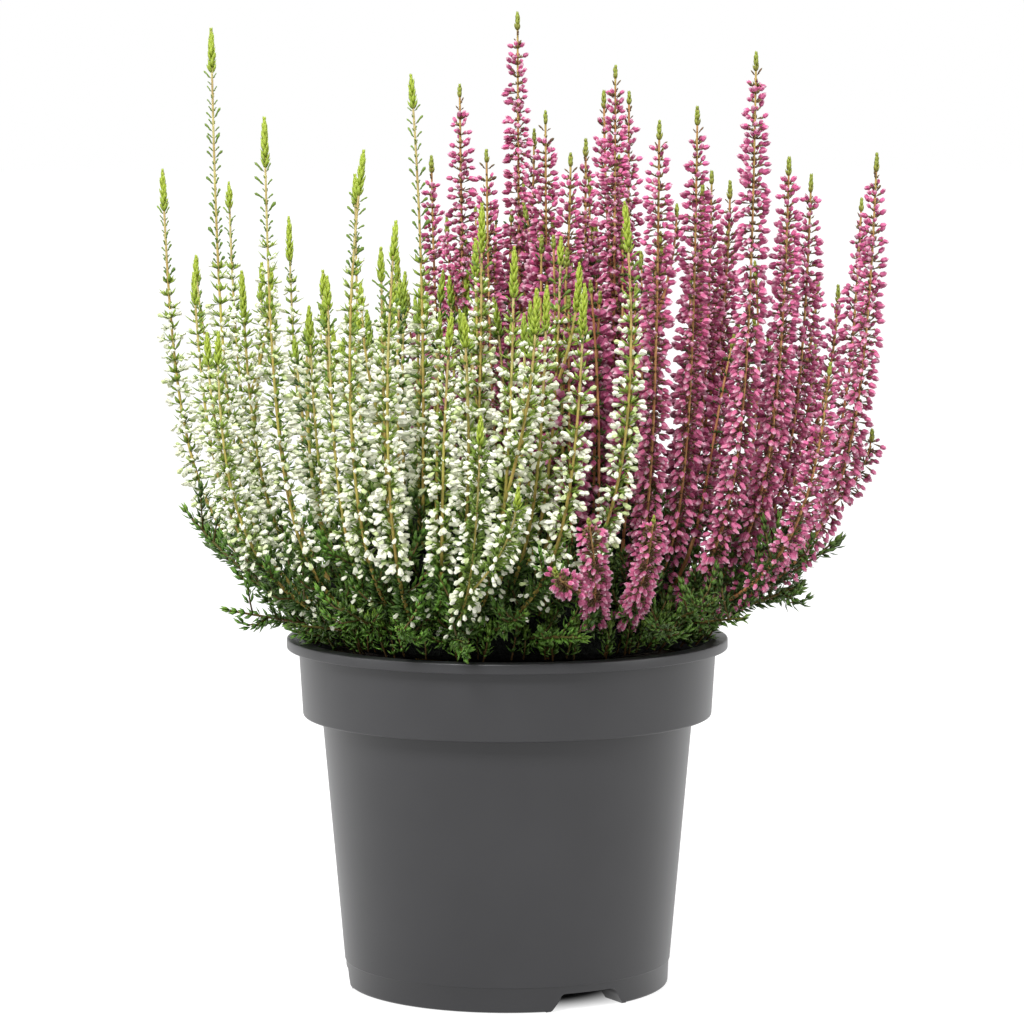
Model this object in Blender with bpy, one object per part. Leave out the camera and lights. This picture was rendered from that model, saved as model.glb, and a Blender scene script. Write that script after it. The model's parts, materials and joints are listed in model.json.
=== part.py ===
"""A potted heather: a thin-walled plastic nursery pot filled with potting soil, with two plants
grown together in it. One carries white flower spikes, on the left and in front, and the other
carries pink ones, on the right and behind.

Sizes are in millimetres, and each mesh is made in metres. +Z is up, the front is -Y, and the
origin is the middle of the pot's foot circle, on the ground.
"""

import math

import bmesh
import bpy
import numpy as np

MM = 0.001
# Clearance between pieces that touch on the real thing.
GAP = 0.3

# The pot.
POT_HEIGHT = 103.0
LIP_RADIUS = 65.1
LIP_HEIGHT = 3.0
LIP_ROUND = 0.6
BAND_TOP_RADIUS = 61.6
BAND_BOTTOM_RADIUS = 60.4
BAND_BOTTOM = 80.0
BAND_ROUND = 1.2
BODY_TOP_RADIUS = 54.8
BODY_BOTTOM_RADIUS = 48.3
FOOT_TOP = 7.0
FOOT_STEP = 0.6
FOOT_RADIUS = 47.3
FOOT_ROUND = 0.8
FOOT_FLARE = 0.3
FOOT_TAPER = 0.4
WALL = 1.3
FLOOR_LOW = 4.0
FLOOR_HIGH = 5.4
POT_SIDES = 36
NOTCH_WIDTH = 20.0
NOTCH_HEIGHT = 4.6
NOTCH_ROUND = 1.6
NOTCH_REACH = 6.0
NOTCH_ANGLES = (-90.0, 30.0, 150.0)
DRAIN_HOLE_RADIUS = 4.0
DRAIN_RING_RADIUS = 30.0
DRAIN_HOLES = 5

# The soil and the woody stem bases that stand in it.
SOIL_TOP = 94.5
SOIL_LUMP = 1.2
SOIL_SIDES = 20
SOIL_RINGS = (42.0, 21.0)
STEM_BASE_RADIUS = 4.2
STEM_BASE_BOTTOM = 82.0
STEM_BASE_TOP = 99.7
# Below the top, where the base starts to widen, where it is widest, and by how much.
STEM_BASE_NECK = 3.7
STEM_BASE_WIDEST = 2.1
STEM_BASE_FLARE = 0.9
STEM_BASE_SIDES = 10

# Every stem of a plant starts from its hub, just above the woody base.
HUB_HEIGHT = 102.0
HUBS = {"white": (-22.0, -14.0), "pink": (24.0, 14.0)}

# The dense low core of the bush, ring by ring up its side and over its top: height, radius
# between the tufts, radius at the tufts and how far the tufts rise. The line in plan parts the
# white plant's half from the pink one's.
BUSH_RINGS = (
    (100.5, 54.0, 54.0, 0.0),
    (105.0, 57.0, 58.0, 0.0),
    (109.0, 60.0, 67.0, 1.0),
    (113.5, 58.0, 66.0, 4.0),
    (117.0, 50.0, 56.0, 6.0),
    (118.5, 38.0, 42.0, 7.0),
    (119.5, 22.0, 26.0, 7.0),
)
BUSH_BOTTOM = 100.0
BUSH_TOP = 120.5
BUSH_SIDES = 36
BUSH_CUT_MARGIN = 20.0
DIVIDE_FRONT = (17.0, -64.0)
DIVIDE_BACK = (-30.0, 60.0)

# Stems run out from the hub and turn upright: this is the rise that takes a stem three quarters
# of the way out to where its tip stands.
TURN_RISE = 30.0

# Where the flowers of a spike start: higher up on spikes that stand near the middle.
FLOWERS_FROM = 130.0
INNER_FLOWERS_RISE = 35.0
INNER_SPREAD = 80.0
LOW_SPIKE_TIP = 180.0
LOW_FLOWERS_FROM = 119.0

# A spike's buds, as relief on a six-sided core: radius against the distance below the tip.
SPIKE_SIDES = 6
BUD_PITCH = 8.0
FIRST_BUDS = 5.0
BUD_TWIST = math.radians(9.0)
# A side spike has no buds where it is still within its main spike's buds.
FORK_BARE = 13.0
SPIKE_SHAPES = {
    "white": {
        "below_tip": (0.0, 10.0, 40.0, 62.0),
        "bud_radius": (0.8, 2.2, 3.4, 5.6),
        "core_radius": (0.7, 0.9, 1.2, 1.7),
        "bud_lift": 1.0,
    },
    "pink": {
        "below_tip": (0.0, 8.0, 26.0, 60.0),
        "bud_radius": (0.8, 2.4, 5.2, 5.2),
        "core_radius": (0.7, 0.9, 1.5, 1.7),
        "bud_lift": 1.8,
    },
}

# Needles on the branches and on the leafy shoots, as relief on a four-sided core.
BRANCH_SIDES = 4
NEEDLE_PITCH = 8.0
NEEDLE_RADIUS = 3.3
NEEDLE_LIFT = 2.4
TWIG_RADIUS = 0.8
BARE_RADIUS = 1.1
LEAFY_SHARE = 0.55
FIRST_NEEDLES = 2.5
BARE_UNTIL = 0.92
SHOOT_RISE = 12.0

# Each spike: its tip (x, y, z), how far its middle bows aside (x, y), and the side spikes that
# fork from it, each as its tip and the height of its fork.
WHITE_SPIKES = (
    ((-103, 25, 240), (0, 0), ()),
    ((-83, -45, 280), (0, 0), ()),
    ((-67, -65, 255), (0, 0), ()),
    ((-39, -80, 246), (-5, 0), ()),
    ((-90, -25, 211), (0, 0), ()),
    ((-77, -13, 211), (0, 0), ((-72, 0, 213, 165), (-68, -20, 212, 175))),
    ((-80, -66, 196), (-2, 0), ((-84, -54, 195, 140),)),
    ((-56, -43, 202), (0, 0), ()),
    ((-35, -62, 219), (0, 0), ((-41, -53, 209, 165),)),
    ((-50, -62, 211), (0, 0), ()),
    ((-30, -90, 227), (-3, -2), ()),
    ((-27, -46, 267), (3, 0), ()),
    ((-15, -89, 202), (-2, 0), ()),
    ((-12, -70, 201), (2, 0), ()),
    ((-7, -50, 231), (0, 0), ((-9, -39, 221, 180),)),
    ((2, -92, 220), (0, 0), ((8, -98, 209, 150),)),
    ((11, -78, 209), (0, 0), ()),
    ((21, -93, 210), (0, 0), ()),
    ((15, -60, 222), (0, 0), ((20, -67, 215, 180),)),
    ((32, -84, 232), (4, 0), ()),
    ((-7, -105, 175), (0, 0), ((3, -106, 156, 124),)),
    ((-85, 50, 236), (0, 0), ((-94, 36, 214, 150),)),
    ((-68, 72, 225), (0, 0), ((-58, 84, 208, 150),)),
    ((-48, 88, 238), (0, 0), ((-36, 97, 205, 150),)),
    ((-34, 60, 215), (0, 0), ((-56, 42, 200, 145),)),
    ((-44, 8, 198), (0, 0), ((-52, 22, 192, 165),)),
)
PINK_SPIKES = (
    ((3, 5, 286), (0, 0), ((8, 25, 252, 190),)),
    ((-6, -14, 246), (0, 0), ()),
    ((-14, 8, 265), (0, 0), ((-18, 18, 226, 190),)),
    ((-23, 40, 244), (0, 0), ((-14, 52, 222, 180),)),
    ((11, -20, 257), (0, 0), ((18, -36, 245, 165),)),
    ((23, 5, 249), (0, 0), ()),
    ((31, -22, 270), (0, 0), ((28, -12, 263, 200),)),
    ((36, 15, 263), (0, 0), ()),
    ((42, -67, 254), (0, 0), ((47, -64, 231, 200),)),
    ((53, -56, 258), (0, 0), ()),
    ((58, -37, 240), (0, 0), ((64, -22, 237, 160),)),
    ((69, -60, 273), (0, 0), ()),
    ((79, -50, 244), (0, 0), ()),
    ((87, -26, 239), (0, 0), ()),
    ((102, -20, 232), (0, 0), ((105, -26, 166, 137),)),
    ((104, -45, 245), (0, 0), ()),
    ((90, -62, 187), (0, 0), ()),
    ((90, -6, 190), (0, 0), ((98, 12, 206, 138),)),
    ((22, -100, 147), (2, 0), ((13, -102, 134, 124),)),
    ((40, -92, 147), (0, 0), ()),
    ((60, 60, 236), (0, 0), ((66, 72, 215, 170),)),
    ((35, 88, 244), (0, 0), ((48, 84, 220, 165),)),
    ((5, 75, 236), (0, 0), ((-10, 72, 228, 170),)),
    ((85, 40, 228), (0, 0), ((93, 27, 208, 150),)),
    ((20, 101, 214), (0, 0), ((2, 103, 206, 150),)),
    ((25, 45, 238), (0, 0), ((38, 58, 214, 170),)),
    ((65, 8, 222), (0, 0), ((57, 20, 216, 172),)),
)
SPIKES = {"white": WHITE_SPIKES, "pink": PINK_SPIKES}

# The tips of the green leafy shoots that lean out over the pot's lip.
WHITE_PLANT_SHOOTS = (
    (-94, -4, 140), (-89, 24, 127), (-80, -30, 114), (-73, 4, 106), (-60, -50, 112),
    (-46, -64, 119), (-30, -74, 114), (-12, -78, 111), (5, -80, 119), (21, -77, 112),
    (-78, 40, 120), (-62, 56, 114), (-44, 72, 122),
)
PINK_PLANT_SHOOTS = (
    (46, -68, 113), (58, -60, 120), (67, -48, 114), (84, -34, 122), (96, -8, 132),
    (87, 14, 115), (78, 42, 120), (60, 62, 113), (42, 76, 121), (20, 84, 114),
    (-2, 86, 119), (-24, 80, 114),
)
SHOOTS = {"white": WHITE_PLANT_SHOOTS, "pink": PINK_PLANT_SHOOTS}


def clear_scene():
    for obj in list(bpy.data.objects):
        bpy.data.objects.remove(obj, do_unlink=True)


def make_material(name, colour, roughness):
    """A Principled material of one colour, given as linear red, green and blue."""
    material = bpy.data.materials.new(name)
    material.use_nodes = True
    shader = material.node_tree.nodes["Principled BSDF"]
    shader.inputs["Base Color"].default_value = (*colour, 1.0)
    shader.inputs["Roughness"].default_value = roughness
    shader.inputs["Metallic"].default_value = 0.0
    return material


def make_object(name, points, faces, material):
    """An object from points in millimetres and a list of faces."""
    mesh = bpy.data.meshes.new(name)
    mesh.from_pydata((np.asarray(points) * MM).tolist(), [], faces)
    mesh.validate()
    mesh.materials.append(material)
    obj = bpy.data.objects.new(name, mesh)
    bpy.context.scene.collection.objects.link(obj)
    return obj


def turned(name, profile, sides, material, centre=(0.0, 0.0)):
    """A closed turned shape. The profile's (radius, height) points run once round the section,
    up the outside, and points of zero radius become single poles."""
    angles = np.arange(sides) * 2 * math.pi / sides
    points = []
    rows = []
    for radius, height in profile:
        first = len(points)
        if radius == 0:
            points.append((centre[0], centre[1], height))
            rows.append([first] * sides)
            continue
        for angle in angles:
            x = centre[0] + radius * math.cos(angle)
            y = centre[1] + radius * math.sin(angle)
            points.append((x, y, height))
        rows.append(list(range(first, first + sides)))
    closed = profile[0][0] > 0
    pairs = list(zip(rows, rows[1:] + rows[:1])) if closed else list(zip(rows, rows[1:]))
    faces = []
    for low, high in pairs:
        for j in range(sides):
            k = (j + 1) % sides
            corners = [low[j], low[k], high[k], high[j]]
            face = list(dict.fromkeys(corners))
            if len(face) > 2:
                faces.append(face)
    return make_object(name, points, faces, material)


def keep_result(obj):
    """Replaces the object's mesh with what its modifiers give, and removes the modifiers."""
    depsgraph = bpy.context.evaluated_depsgraph_get()
    mesh = bpy.data.meshes.new_from_object(obj.evaluated_get(depsgraph))
    obj.modifiers.clear()
    obj.data = mesh


def combine(obj, others, operation, solver="EXACT"):
    """One Boolean with a collection of the other objects, which are then removed."""
    group = bpy.data.collections.new(obj.name + "_group")
    bpy.context.scene.collection.children.link(group)
    for other in others:
        group.objects.link(other)
    boolean = obj.modifiers.new("combine", "BOOLEAN")
    boolean.operation = operation
    boolean.operand_type = "COLLECTION"
    boolean.collection = group
    boolean.solver = solver
    keep_result(obj)
    for other in others:
        bpy.data.objects.remove(other, do_unlink=True)
    bpy.data.collections.remove(group)
    if operation == "UNION":
        keep_largest_shell(obj)


def keep_largest_shell(obj):
    """Fills the hollows that a union has sealed and drops loose scraps: all shells but the one
    with the most faces are deleted."""
    shells = bmesh.new()
    shells.from_mesh(obj.data)
    unseen = set(shells.verts)
    islands = []
    while unseen:
        front = [unseen.pop()]
        island = set(front)
        while front:
            vertex = front.pop()
            for edge in vertex.link_edges:
                other = edge.other_vert(vertex)
                if other in unseen:
                    unseen.remove(other)
                    island.add(other)
                    front.append(other)
        islands.append(island)
    largest = max(islands, key=len)
    small = [vertex for island in islands if island is not largest for vertex in island]
    bmesh.ops.delete(shells, geom=small, context="VERTS")
    shells.to_mesh(obj.data)
    shells.free()


def shade_by_angle(obj, degrees):
    obj.data.shade_smooth()
    obj.data.set_sharp_from_angle(angle=math.radians(degrees))


def reach(height):
    """The share of the way out that a stem has run at a height: fast at first, then upright."""
    return 1.0 - 1.0 / (1.0 + (height - HUB_HEIGHT) / TURN_RISE) ** 2


def stem_path(hub, tip, bow, heights):
    """Points on a stem from the hub to its tip, at the given heights. The bow is a parabola."""
    share = reach(heights) / reach(tip[2])
    along = (heights - HUB_HEIGHT) / (tip[2] - HUB_HEIGHT)
    bump = 4.0 * along * (1.0 - along)
    x = hub[0] + (tip[0] - hub[0]) * share + bow[0] * bump
    y = hub[1] + (tip[1] - hub[1]) * share + bow[1] * bump
    return np.stack([x, y, heights], axis=1)


def fork_path(start, tip):
    """Points on a side stem, which leaves its start sideways and ends upright at its tip."""
    u = np.linspace(0.0, 1.0, 40)[:, None]
    start = np.asarray(start, dtype=float)
    tip = np.asarray(tip, dtype=float)
    outward = 1.0 - (1.0 - u) ** 2
    return start + (tip - start) * np.concatenate([outward, outward, u], axis=1)


def shoot_path(hub, tip):
    """Points on a leafy shoot, which runs low over the pot's lip and turns up to its tip."""
    u = np.linspace(0.0, 1.0, 40)
    x = hub[0] + (tip[0] - hub[0]) * u
    y = hub[1] + (tip[1] - hub[1]) * u
    z = HUB_HEIGHT + SHOOT_RISE * u + (tip[2] - HUB_HEIGHT - SHOOT_RISE) * u ** 3
    return np.stack([x, y, z], axis=1)


def first_flower(tip):
    """The height where a spike's flowers start."""
    if tip[2] < LOW_SPIKE_TIP:
        return LOW_FLOWERS_FROM
    spread = math.hypot(tip[0], tip[1])
    return FLOWERS_FROM + INNER_FLOWERS_RISE * max(0.0, 1.0 - spread / INNER_SPREAD)


def path_length(path):
    return np.linalg.norm(np.diff(path, axis=0), axis=1).sum()


def knobbed_stem(name, path, rings, knob, core, lift, sides, material):
    """A closed stem with alternate knobs, in relief. Round each ring, knob and core points take
    turns, and the next ring swaps them, so that each knob is a four-sided point standing out of
    the core. Rings are given by their distance back from the path's end, with a knob radius, a
    core radius and a forward lift of the knobs for each."""
    steps = np.linalg.norm(np.diff(path, axis=0), axis=1)
    travelled = np.concatenate([[0.0], np.cumsum(steps)])
    length = travelled[-1]
    order = np.argsort(-rings)
    places = length - rings[order]
    centres = np.stack([np.interp(places, travelled, path[:, i]) for i in range(3)], axis=1)
    chain = np.concatenate([path[:1], centres, path[-1:]])
    forward = chain[2:] - chain[:-2]
    forward /= np.linalg.norm(forward, axis=1)[:, None]
    across = path[-1] - path[0]
    aside = np.array([-across[1], across[0], 0.0])
    if np.linalg.norm(aside) < 1e-6:
        aside = np.array([0.0, 1.0, 0.0])
    normal = np.cross(aside / np.linalg.norm(aside), forward)
    normal /= np.linalg.norm(normal, axis=1)[:, None]
    binormal = np.cross(forward, normal)

    count = len(places)
    k, j = np.meshgrid(np.arange(count), np.arange(sides), indexing="ij")
    is_knob = (k + j) % 2 == 0
    angle = 2 * math.pi * j / sides + BUD_TWIST * k
    radius = np.where(is_knob, knob[order][:, None], core[order][:, None])
    rise = np.where(is_knob, lift[order][:, None], 0.0)
    ring_points = (
        centres[:, None, :]
        + (radius * np.cos(angle))[..., None] * normal[:, None, :]
        + (radius * np.sin(angle))[..., None] * binormal[:, None, :]
        + rise[..., None] * forward[:, None, :]
    )
    points = np.concatenate([path[:1], ring_points.reshape(-1, 3), path[-1:]])

    start = 0
    end = len(points) - 1
    faces = []
    for a in range(sides):
        b = (a + 1) % sides
        faces.append((start, 1 + b, 1 + a))
        last = 1 + (count - 1) * sides
        faces.append((end, last + a, last + b))
        for ring in range(count - 1):
            low = 1 + ring * sides
            high = low + sides
            if (ring + a) % 2 == 0:
                faces.append((low + a, low + b, high + a))
                faces.append((low + b, high + b, high + a))
            else:
                faces.append((low + a, low + b, high + b))
                faces.append((low + a, high + b, high + a))
    return make_object(name, points, faces, material)


def flower_spike(name, path, colour, material, bare=0.0):
    """One spike: a slim core with rings of buds, smaller and closer in towards the tip, and none
    over a bare length at its foot."""
    shape = SPIKE_SHAPES[colour]
    length = path_length(path)
    rings = np.arange(FIRST_BUDS, length - bare - 0.4 * BUD_PITCH, BUD_PITCH)
    knob = np.interp(rings, shape["below_tip"], shape["bud_radius"])
    core = np.interp(rings, shape["below_tip"], shape["core_radius"])
    above_base = length - rings
    knob = np.minimum(knob, core + 0.45 * above_base)
    lift = shape["bud_lift"] * knob / max(shape["bud_radius"])
    return knobbed_stem(name, path, rings, knob, core, lift, SPIKE_SIDES, material)


def leafy_stem(name, path, material):
    """A stem that is bare near its hub and carries needles towards its end."""
    length = path_length(path)
    leafy = np.arange(FIRST_NEEDLES, LEAFY_SHARE * length, NEEDLE_PITCH)
    bare = np.array([LEAFY_SHARE * length + NEEDLE_PITCH, BARE_UNTIL * length])
    rings = np.concatenate([leafy, bare])
    # The needles shorten towards the tip, and those of the last ring stand straight out.
    taper = np.clip(leafy / NEEDLE_PITCH, 0.35, 1.0)
    needles = TWIG_RADIUS + (NEEDLE_RADIUS - TWIG_RADIUS) * taper
    lift = NEEDLE_LIFT * taper
    lift[0] = 0.0
    stem = np.full(len(bare), BARE_RADIUS)
    knob = np.concatenate([needles, stem])
    core = np.concatenate([np.full(len(leafy), TWIG_RADIUS), stem])
    lift = np.concatenate([lift, np.zeros(len(bare))])
    return knobbed_stem(name, path, rings, knob, core, lift, BRANCH_SIDES, material)


def make_pot(material):
    """The pot: a wall of even thickness with a lip, a band, a tapered body and a foot ring."""
    lip_bottom = POT_HEIGHT - LIP_HEIGHT
    body_foot = FOOT_TOP + FOOT_STEP
    profile = (
        (FOOT_RADIUS - FOOT_ROUND, 0.0),
        (FOOT_RADIUS, FOOT_ROUND),
        (FOOT_RADIUS + FOOT_FLARE, FOOT_TOP),
        (BODY_BOTTOM_RADIUS, body_foot),
        (BODY_TOP_RADIUS, BAND_BOTTOM),
        (BAND_BOTTOM_RADIUS - BAND_ROUND, BAND_BOTTOM),
        (BAND_BOTTOM_RADIUS, BAND_BOTTOM + BAND_ROUND),
        (BAND_TOP_RADIUS, lip_bottom),
        (LIP_RADIUS, lip_bottom),
        (LIP_RADIUS, POT_HEIGHT - LIP_ROUND),
        (LIP_RADIUS - LIP_ROUND, POT_HEIGHT),
        (BAND_TOP_RADIUS - WALL, POT_HEIGHT),
        (BAND_BOTTOM_RADIUS - WALL, BAND_BOTTOM + WALL),
        (BODY_TOP_RADIUS - WALL, BAND_BOTTOM + WALL),
        (BODY_BOTTOM_RADIUS - WALL, FLOOR_HIGH),
        (0.0, FLOOR_HIGH),
    )
    underside = (
        (0.0, FLOOR_LOW),
        (FOOT_RADIUS - WALL - FOOT_TAPER, FLOOR_LOW),
        (FOOT_RADIUS - WALL - 2 * FOOT_TAPER, 0.0),
    )
    outline = underside + profile
    pot = turned("pot", outline, POT_SIDES, material)
    cutters = [foot_notch(math.radians(angle), material) for angle in NOTCH_ANGLES]
    for i in range(DRAIN_HOLES):
        angle = 2 * math.pi * (i + 0.5) / DRAIN_HOLES
        cutters.append(drain_hole(angle, material))
    combine(pot, cutters, "DIFFERENCE")
    shade_by_angle(pot, 30.0)
    return pot


def foot_notch(angle, material):
    """A cutter for one drain notch in the foot ring: a bar with rounded upper corners."""
    half = NOTCH_WIDTH / 2
    section = [(-half, -1.0), (half, -1.0)]
    for corner, turn in ((1, 0.0), (-1, 90.0)):
        for step in (0.0, 45.0, 90.0):
            bend = math.radians(turn + step)
            u = corner * (half - NOTCH_ROUND) + NOTCH_ROUND * math.cos(bend)
            v = NOTCH_HEIGHT - NOTCH_ROUND + NOTCH_ROUND * math.sin(bend)
            section.append((u, v))
    out = np.array([math.sin(angle), -math.cos(angle), 0.0])
    along = np.array([math.cos(angle), math.sin(angle), 0.0])
    up = np.array([0.0, 0.0, 1.0])
    near = [out * (FOOT_RADIUS - NOTCH_REACH) + along * u + up * v for u, v in section]
    far = [out * (FOOT_RADIUS + NOTCH_REACH) + along * u + up * v for u, v in section]
    count = len(section)
    faces = [tuple(range(count - 1, -1, -1)), tuple(range(count, 2 * count))]
    for i in range(count):
        k = (i + 1) % count
        faces.append((i, k, k + count, i + count))
    return make_object("notch_cutter", near + far, faces, material)


def drain_hole(angle, material):
    """A cutter for one round drain hole in the floor."""
    centre = (DRAIN_RING_RADIUS * math.sin(angle), -DRAIN_RING_RADIUS * math.cos(angle))
    profile = (
        (0.0, FLOOR_LOW - 2.0),
        (DRAIN_HOLE_RADIUS, FLOOR_LOW - 2.0),
        (DRAIN_HOLE_RADIUS, FLOOR_HIGH + 2.0),
        (0.0, FLOOR_HIGH + 2.0),
    )
    return turned("drain_cutter", profile, 8, material, centre)


def soil_lump(x, y):
    """The height of the soil's crumbly top: two crossed waves and a finer third one."""
    broad = math.sin(x * 0.21 + 0.7) * math.cos(y * 0.19)
    fine = math.sin(x * 0.43 - y * 0.37)
    return SOIL_TOP + SOIL_LUMP * (0.6 * broad + 0.4 * fine)


def make_soil(material):
    """The soil, filling the pot to below its lip, with a plain hole for each woody stem base."""
    inner_band = BAND_BOTTOM_RADIUS - WALL - GAP
    inner_body = BODY_TOP_RADIUS - WALL - GAP
    inner_foot = BODY_BOTTOM_RADIUS - WALL - GAP
    ledge = BAND_BOTTOM + WALL + GAP
    # The band's wall leans out, so the soil's edge does too.
    lean = (BAND_TOP_RADIUS - BAND_BOTTOM_RADIUS) / (POT_HEIGHT - BAND_BOTTOM)
    edge = inner_band + lean * (SOIL_TOP - ledge)
    profile = [
        (0.0, FLOOR_HIGH + GAP),
        (inner_foot, FLOOR_HIGH + GAP),
        (inner_body, ledge),
        (inner_band, ledge),
    ]
    profile += [(radius, SOIL_TOP) for radius in (edge, *SOIL_RINGS)]
    profile.append((0.0, SOIL_TOP))
    soil = turned("soil", profile, SOIL_SIDES, material)
    for vertex in soil.data.vertices:
        x, y, z = vertex.co / MM
        if abs(z - SOIL_TOP) < 0.1:
            vertex.co.z = soil_lump(x, y) * MM
    holes = []
    for hub in HUBS.values():
        bore = STEM_BASE_RADIUS + GAP
        profile = (
            (0.0, STEM_BASE_BOTTOM - GAP),
            (bore, STEM_BASE_BOTTOM - GAP),
            (bore, SOIL_TOP + 4.0),
            (0.0, SOIL_TOP + 4.0),
        )
        holes.append(turned("hole_cutter", profile, STEM_BASE_SIDES, material, hub))
    combine(soil, holes, "DIFFERENCE")
    return soil


def make_stem_base(colour, material):
    """The woody base of one plant, standing in its hole in the soil and widening at the top."""
    radius = STEM_BASE_RADIUS
    profile = (
        (0.0, STEM_BASE_BOTTOM),
        (radius, STEM_BASE_BOTTOM),
        (radius, STEM_BASE_TOP - STEM_BASE_NECK),
        (radius + STEM_BASE_FLARE, STEM_BASE_TOP - STEM_BASE_WIDEST),
        (radius + STEM_BASE_FLARE / 2, STEM_BASE_TOP),
        (0.0, STEM_BASE_TOP),
    )
    base = turned(colour + "_plant_stem_base", profile, STEM_BASE_SIDES, material, HUBS[colour])
    shade_by_angle(base, 40.0)
    return base


def bush_core(colour, material):
    """One plant's half of the low tufted core that the leafy stems stand out of."""
    path = np.array([(0.0, 0.0, BUSH_BOTTOM), (0.0, 0.0, BUSH_TOP)])
    height, core_radius, tuft_radius, rise = np.array(BUSH_RINGS).T
    name = colour + "_plant_foliage"
    rings = BUSH_TOP - height
    core = knobbed_stem(name, path, rings, tuft_radius, core_radius, rise, BUSH_SIDES, material)
    front = np.array([*DIVIDE_FRONT, 0.0])
    back = np.array([*DIVIDE_BACK, 0.0])
    along = (back - front) / np.linalg.norm(back - front)
    # The side to cut away lies to the right of the line for white and to the left for pink.
    away = np.array([along[1], -along[0], 0.0]) * (1 if colour == "white" else -1)
    outside = away * 3 * LIP_RADIUS
    near = front - along * LIP_RADIUS - away * GAP
    far = back + along * LIP_RADIUS - away * GAP
    plan = (near, near + outside, far + outside, far)
    if colour == "pink":
        plan = plan[::-1]
    low = np.array([0.0, 0.0, BUSH_BOTTOM - BUSH_CUT_MARGIN])
    high = np.array([0.0, 0.0, BUSH_TOP + BUSH_CUT_MARGIN])
    points = [p + low for p in plan] + [p + high for p in plan]
    faces = [(3, 2, 1, 0), (4, 5, 6, 7), (0, 1, 5, 4), (1, 2, 6, 5), (2, 3, 7, 6), (3, 0, 4, 7)]
    cutter = make_object("half_cutter", points, faces, material)
    combine(core, [cutter], "DIFFERENCE")
    return core


def make_foliage(colour, material):
    """The green part of one plant as one body: its half of the bush's core, the branches that
    carry needles and end just under each spike, and the leafy shoots that lean out over the lip."""
    hub_xy = HUBS[colour]
    bush = bush_core(colour, material)
    stems = []
    for tip, bow, _ in SPIKES[colour]:
        rise = first_flower(tip) - HUB_HEIGHT
        heights = HUB_HEIGHT + rise * np.linspace(0.0, 1.0, 60) ** 2
        path = stem_path(hub_xy, tip, bow, heights)
        # The branch's point stops just short of the point that its spike starts with.
        last_step = path[-1] - path[-2]
        path[-1] -= GAP * last_step / np.linalg.norm(last_step)
        stems.append(leafy_stem("branch", path, material))
    for tip in SHOOTS[colour]:
        stems.append(leafy_stem("shoot", shoot_path(hub_xy, tip), material))
    combine(bush, stems, "UNION", solver="MANIFOLD")
    return bush


def make_spikes(colour, material):
    """The flower spikes of one plant, each with the side spikes that fork from it."""
    for number, (tip, bow, forks) in enumerate(SPIKES[colour], start=1):
        base = first_flower(tip)
        heights = np.linspace(base, tip[2], 60)
        path = stem_path(HUBS[colour], tip, bow, heights)
        name = f"{colour}_spike_{number:02d}"
        spike = flower_spike(name, path, colour, material)
        sides = []
        for x, y, z, fork in forks:
            at_fork = np.array([float(fork)])
            start = stem_path(HUBS[colour], tip, bow, at_fork)[0]
            side_path = fork_path(start, (x, y, z))
            sides.append(flower_spike("fork", side_path, colour, material, FORK_BARE))
        if sides:
            combine(spike, sides, "UNION", solver="MANIFOLD")


def main():
    clear_scene()
    make_pot(make_material("pot_plastic", (0.075, 0.076, 0.080), 0.42))
    make_soil(make_material("potting_soil", (0.020, 0.013, 0.009), 0.95))
    wood = make_material("stem_wood", (0.190, 0.085, 0.034), 0.75)
    leaf = make_material("needle_green", (0.055, 0.115, 0.026), 0.55)
    petals = {
        "white": make_material("white_flowers", (0.800, 0.820, 0.640), 0.60),
        "pink": make_material("pink_flowers", (0.420, 0.085, 0.190), 0.60),
    }
    for colour in HUBS:
        make_stem_base(colour, wood)
        make_foliage(colour, leaf)
        make_spikes(colour, petals[colour])


main()
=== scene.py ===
"""The looks of a potted heather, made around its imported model: a dark grey nursery pot of moist
peat with two plants grown together, one with white flower buds and one with pink ones.

Lengths are in millimetres until a mesh is made, in metres. +Z is up and the front is -Y. The
stems follow the same tables and the same path rules as the solids that these pieces replace.
"""

import json
import math

import bpy
import numpy as np
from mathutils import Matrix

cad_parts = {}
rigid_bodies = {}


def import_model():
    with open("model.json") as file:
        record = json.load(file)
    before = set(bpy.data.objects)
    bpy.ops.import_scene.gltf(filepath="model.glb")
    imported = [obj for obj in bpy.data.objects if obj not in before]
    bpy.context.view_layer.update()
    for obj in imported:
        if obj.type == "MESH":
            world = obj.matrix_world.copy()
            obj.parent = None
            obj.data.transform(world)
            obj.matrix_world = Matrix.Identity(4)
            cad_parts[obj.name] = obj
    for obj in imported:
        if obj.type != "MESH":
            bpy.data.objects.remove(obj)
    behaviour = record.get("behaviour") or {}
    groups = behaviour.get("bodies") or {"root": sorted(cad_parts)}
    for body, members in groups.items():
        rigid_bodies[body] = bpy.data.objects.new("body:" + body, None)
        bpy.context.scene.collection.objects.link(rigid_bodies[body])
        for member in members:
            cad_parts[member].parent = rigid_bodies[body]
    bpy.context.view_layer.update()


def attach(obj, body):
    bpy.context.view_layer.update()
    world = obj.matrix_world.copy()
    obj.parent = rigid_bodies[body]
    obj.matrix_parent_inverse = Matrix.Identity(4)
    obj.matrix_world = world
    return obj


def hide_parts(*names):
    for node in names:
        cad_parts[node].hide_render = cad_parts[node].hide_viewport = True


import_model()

MM = 0.001
SEED = 20

# The camera, as fitted to the photograph's pot: its place, how far it looks down, and its lens.
IMAGE_SIDE = 1024
CAMERA_PLACE = (1.38, -1180.0, 249.0)
CAMERA_DOWN = math.radians(5.29)
FOCAL_PIXELS = 4020.0
SENSOR = 36.0

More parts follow.
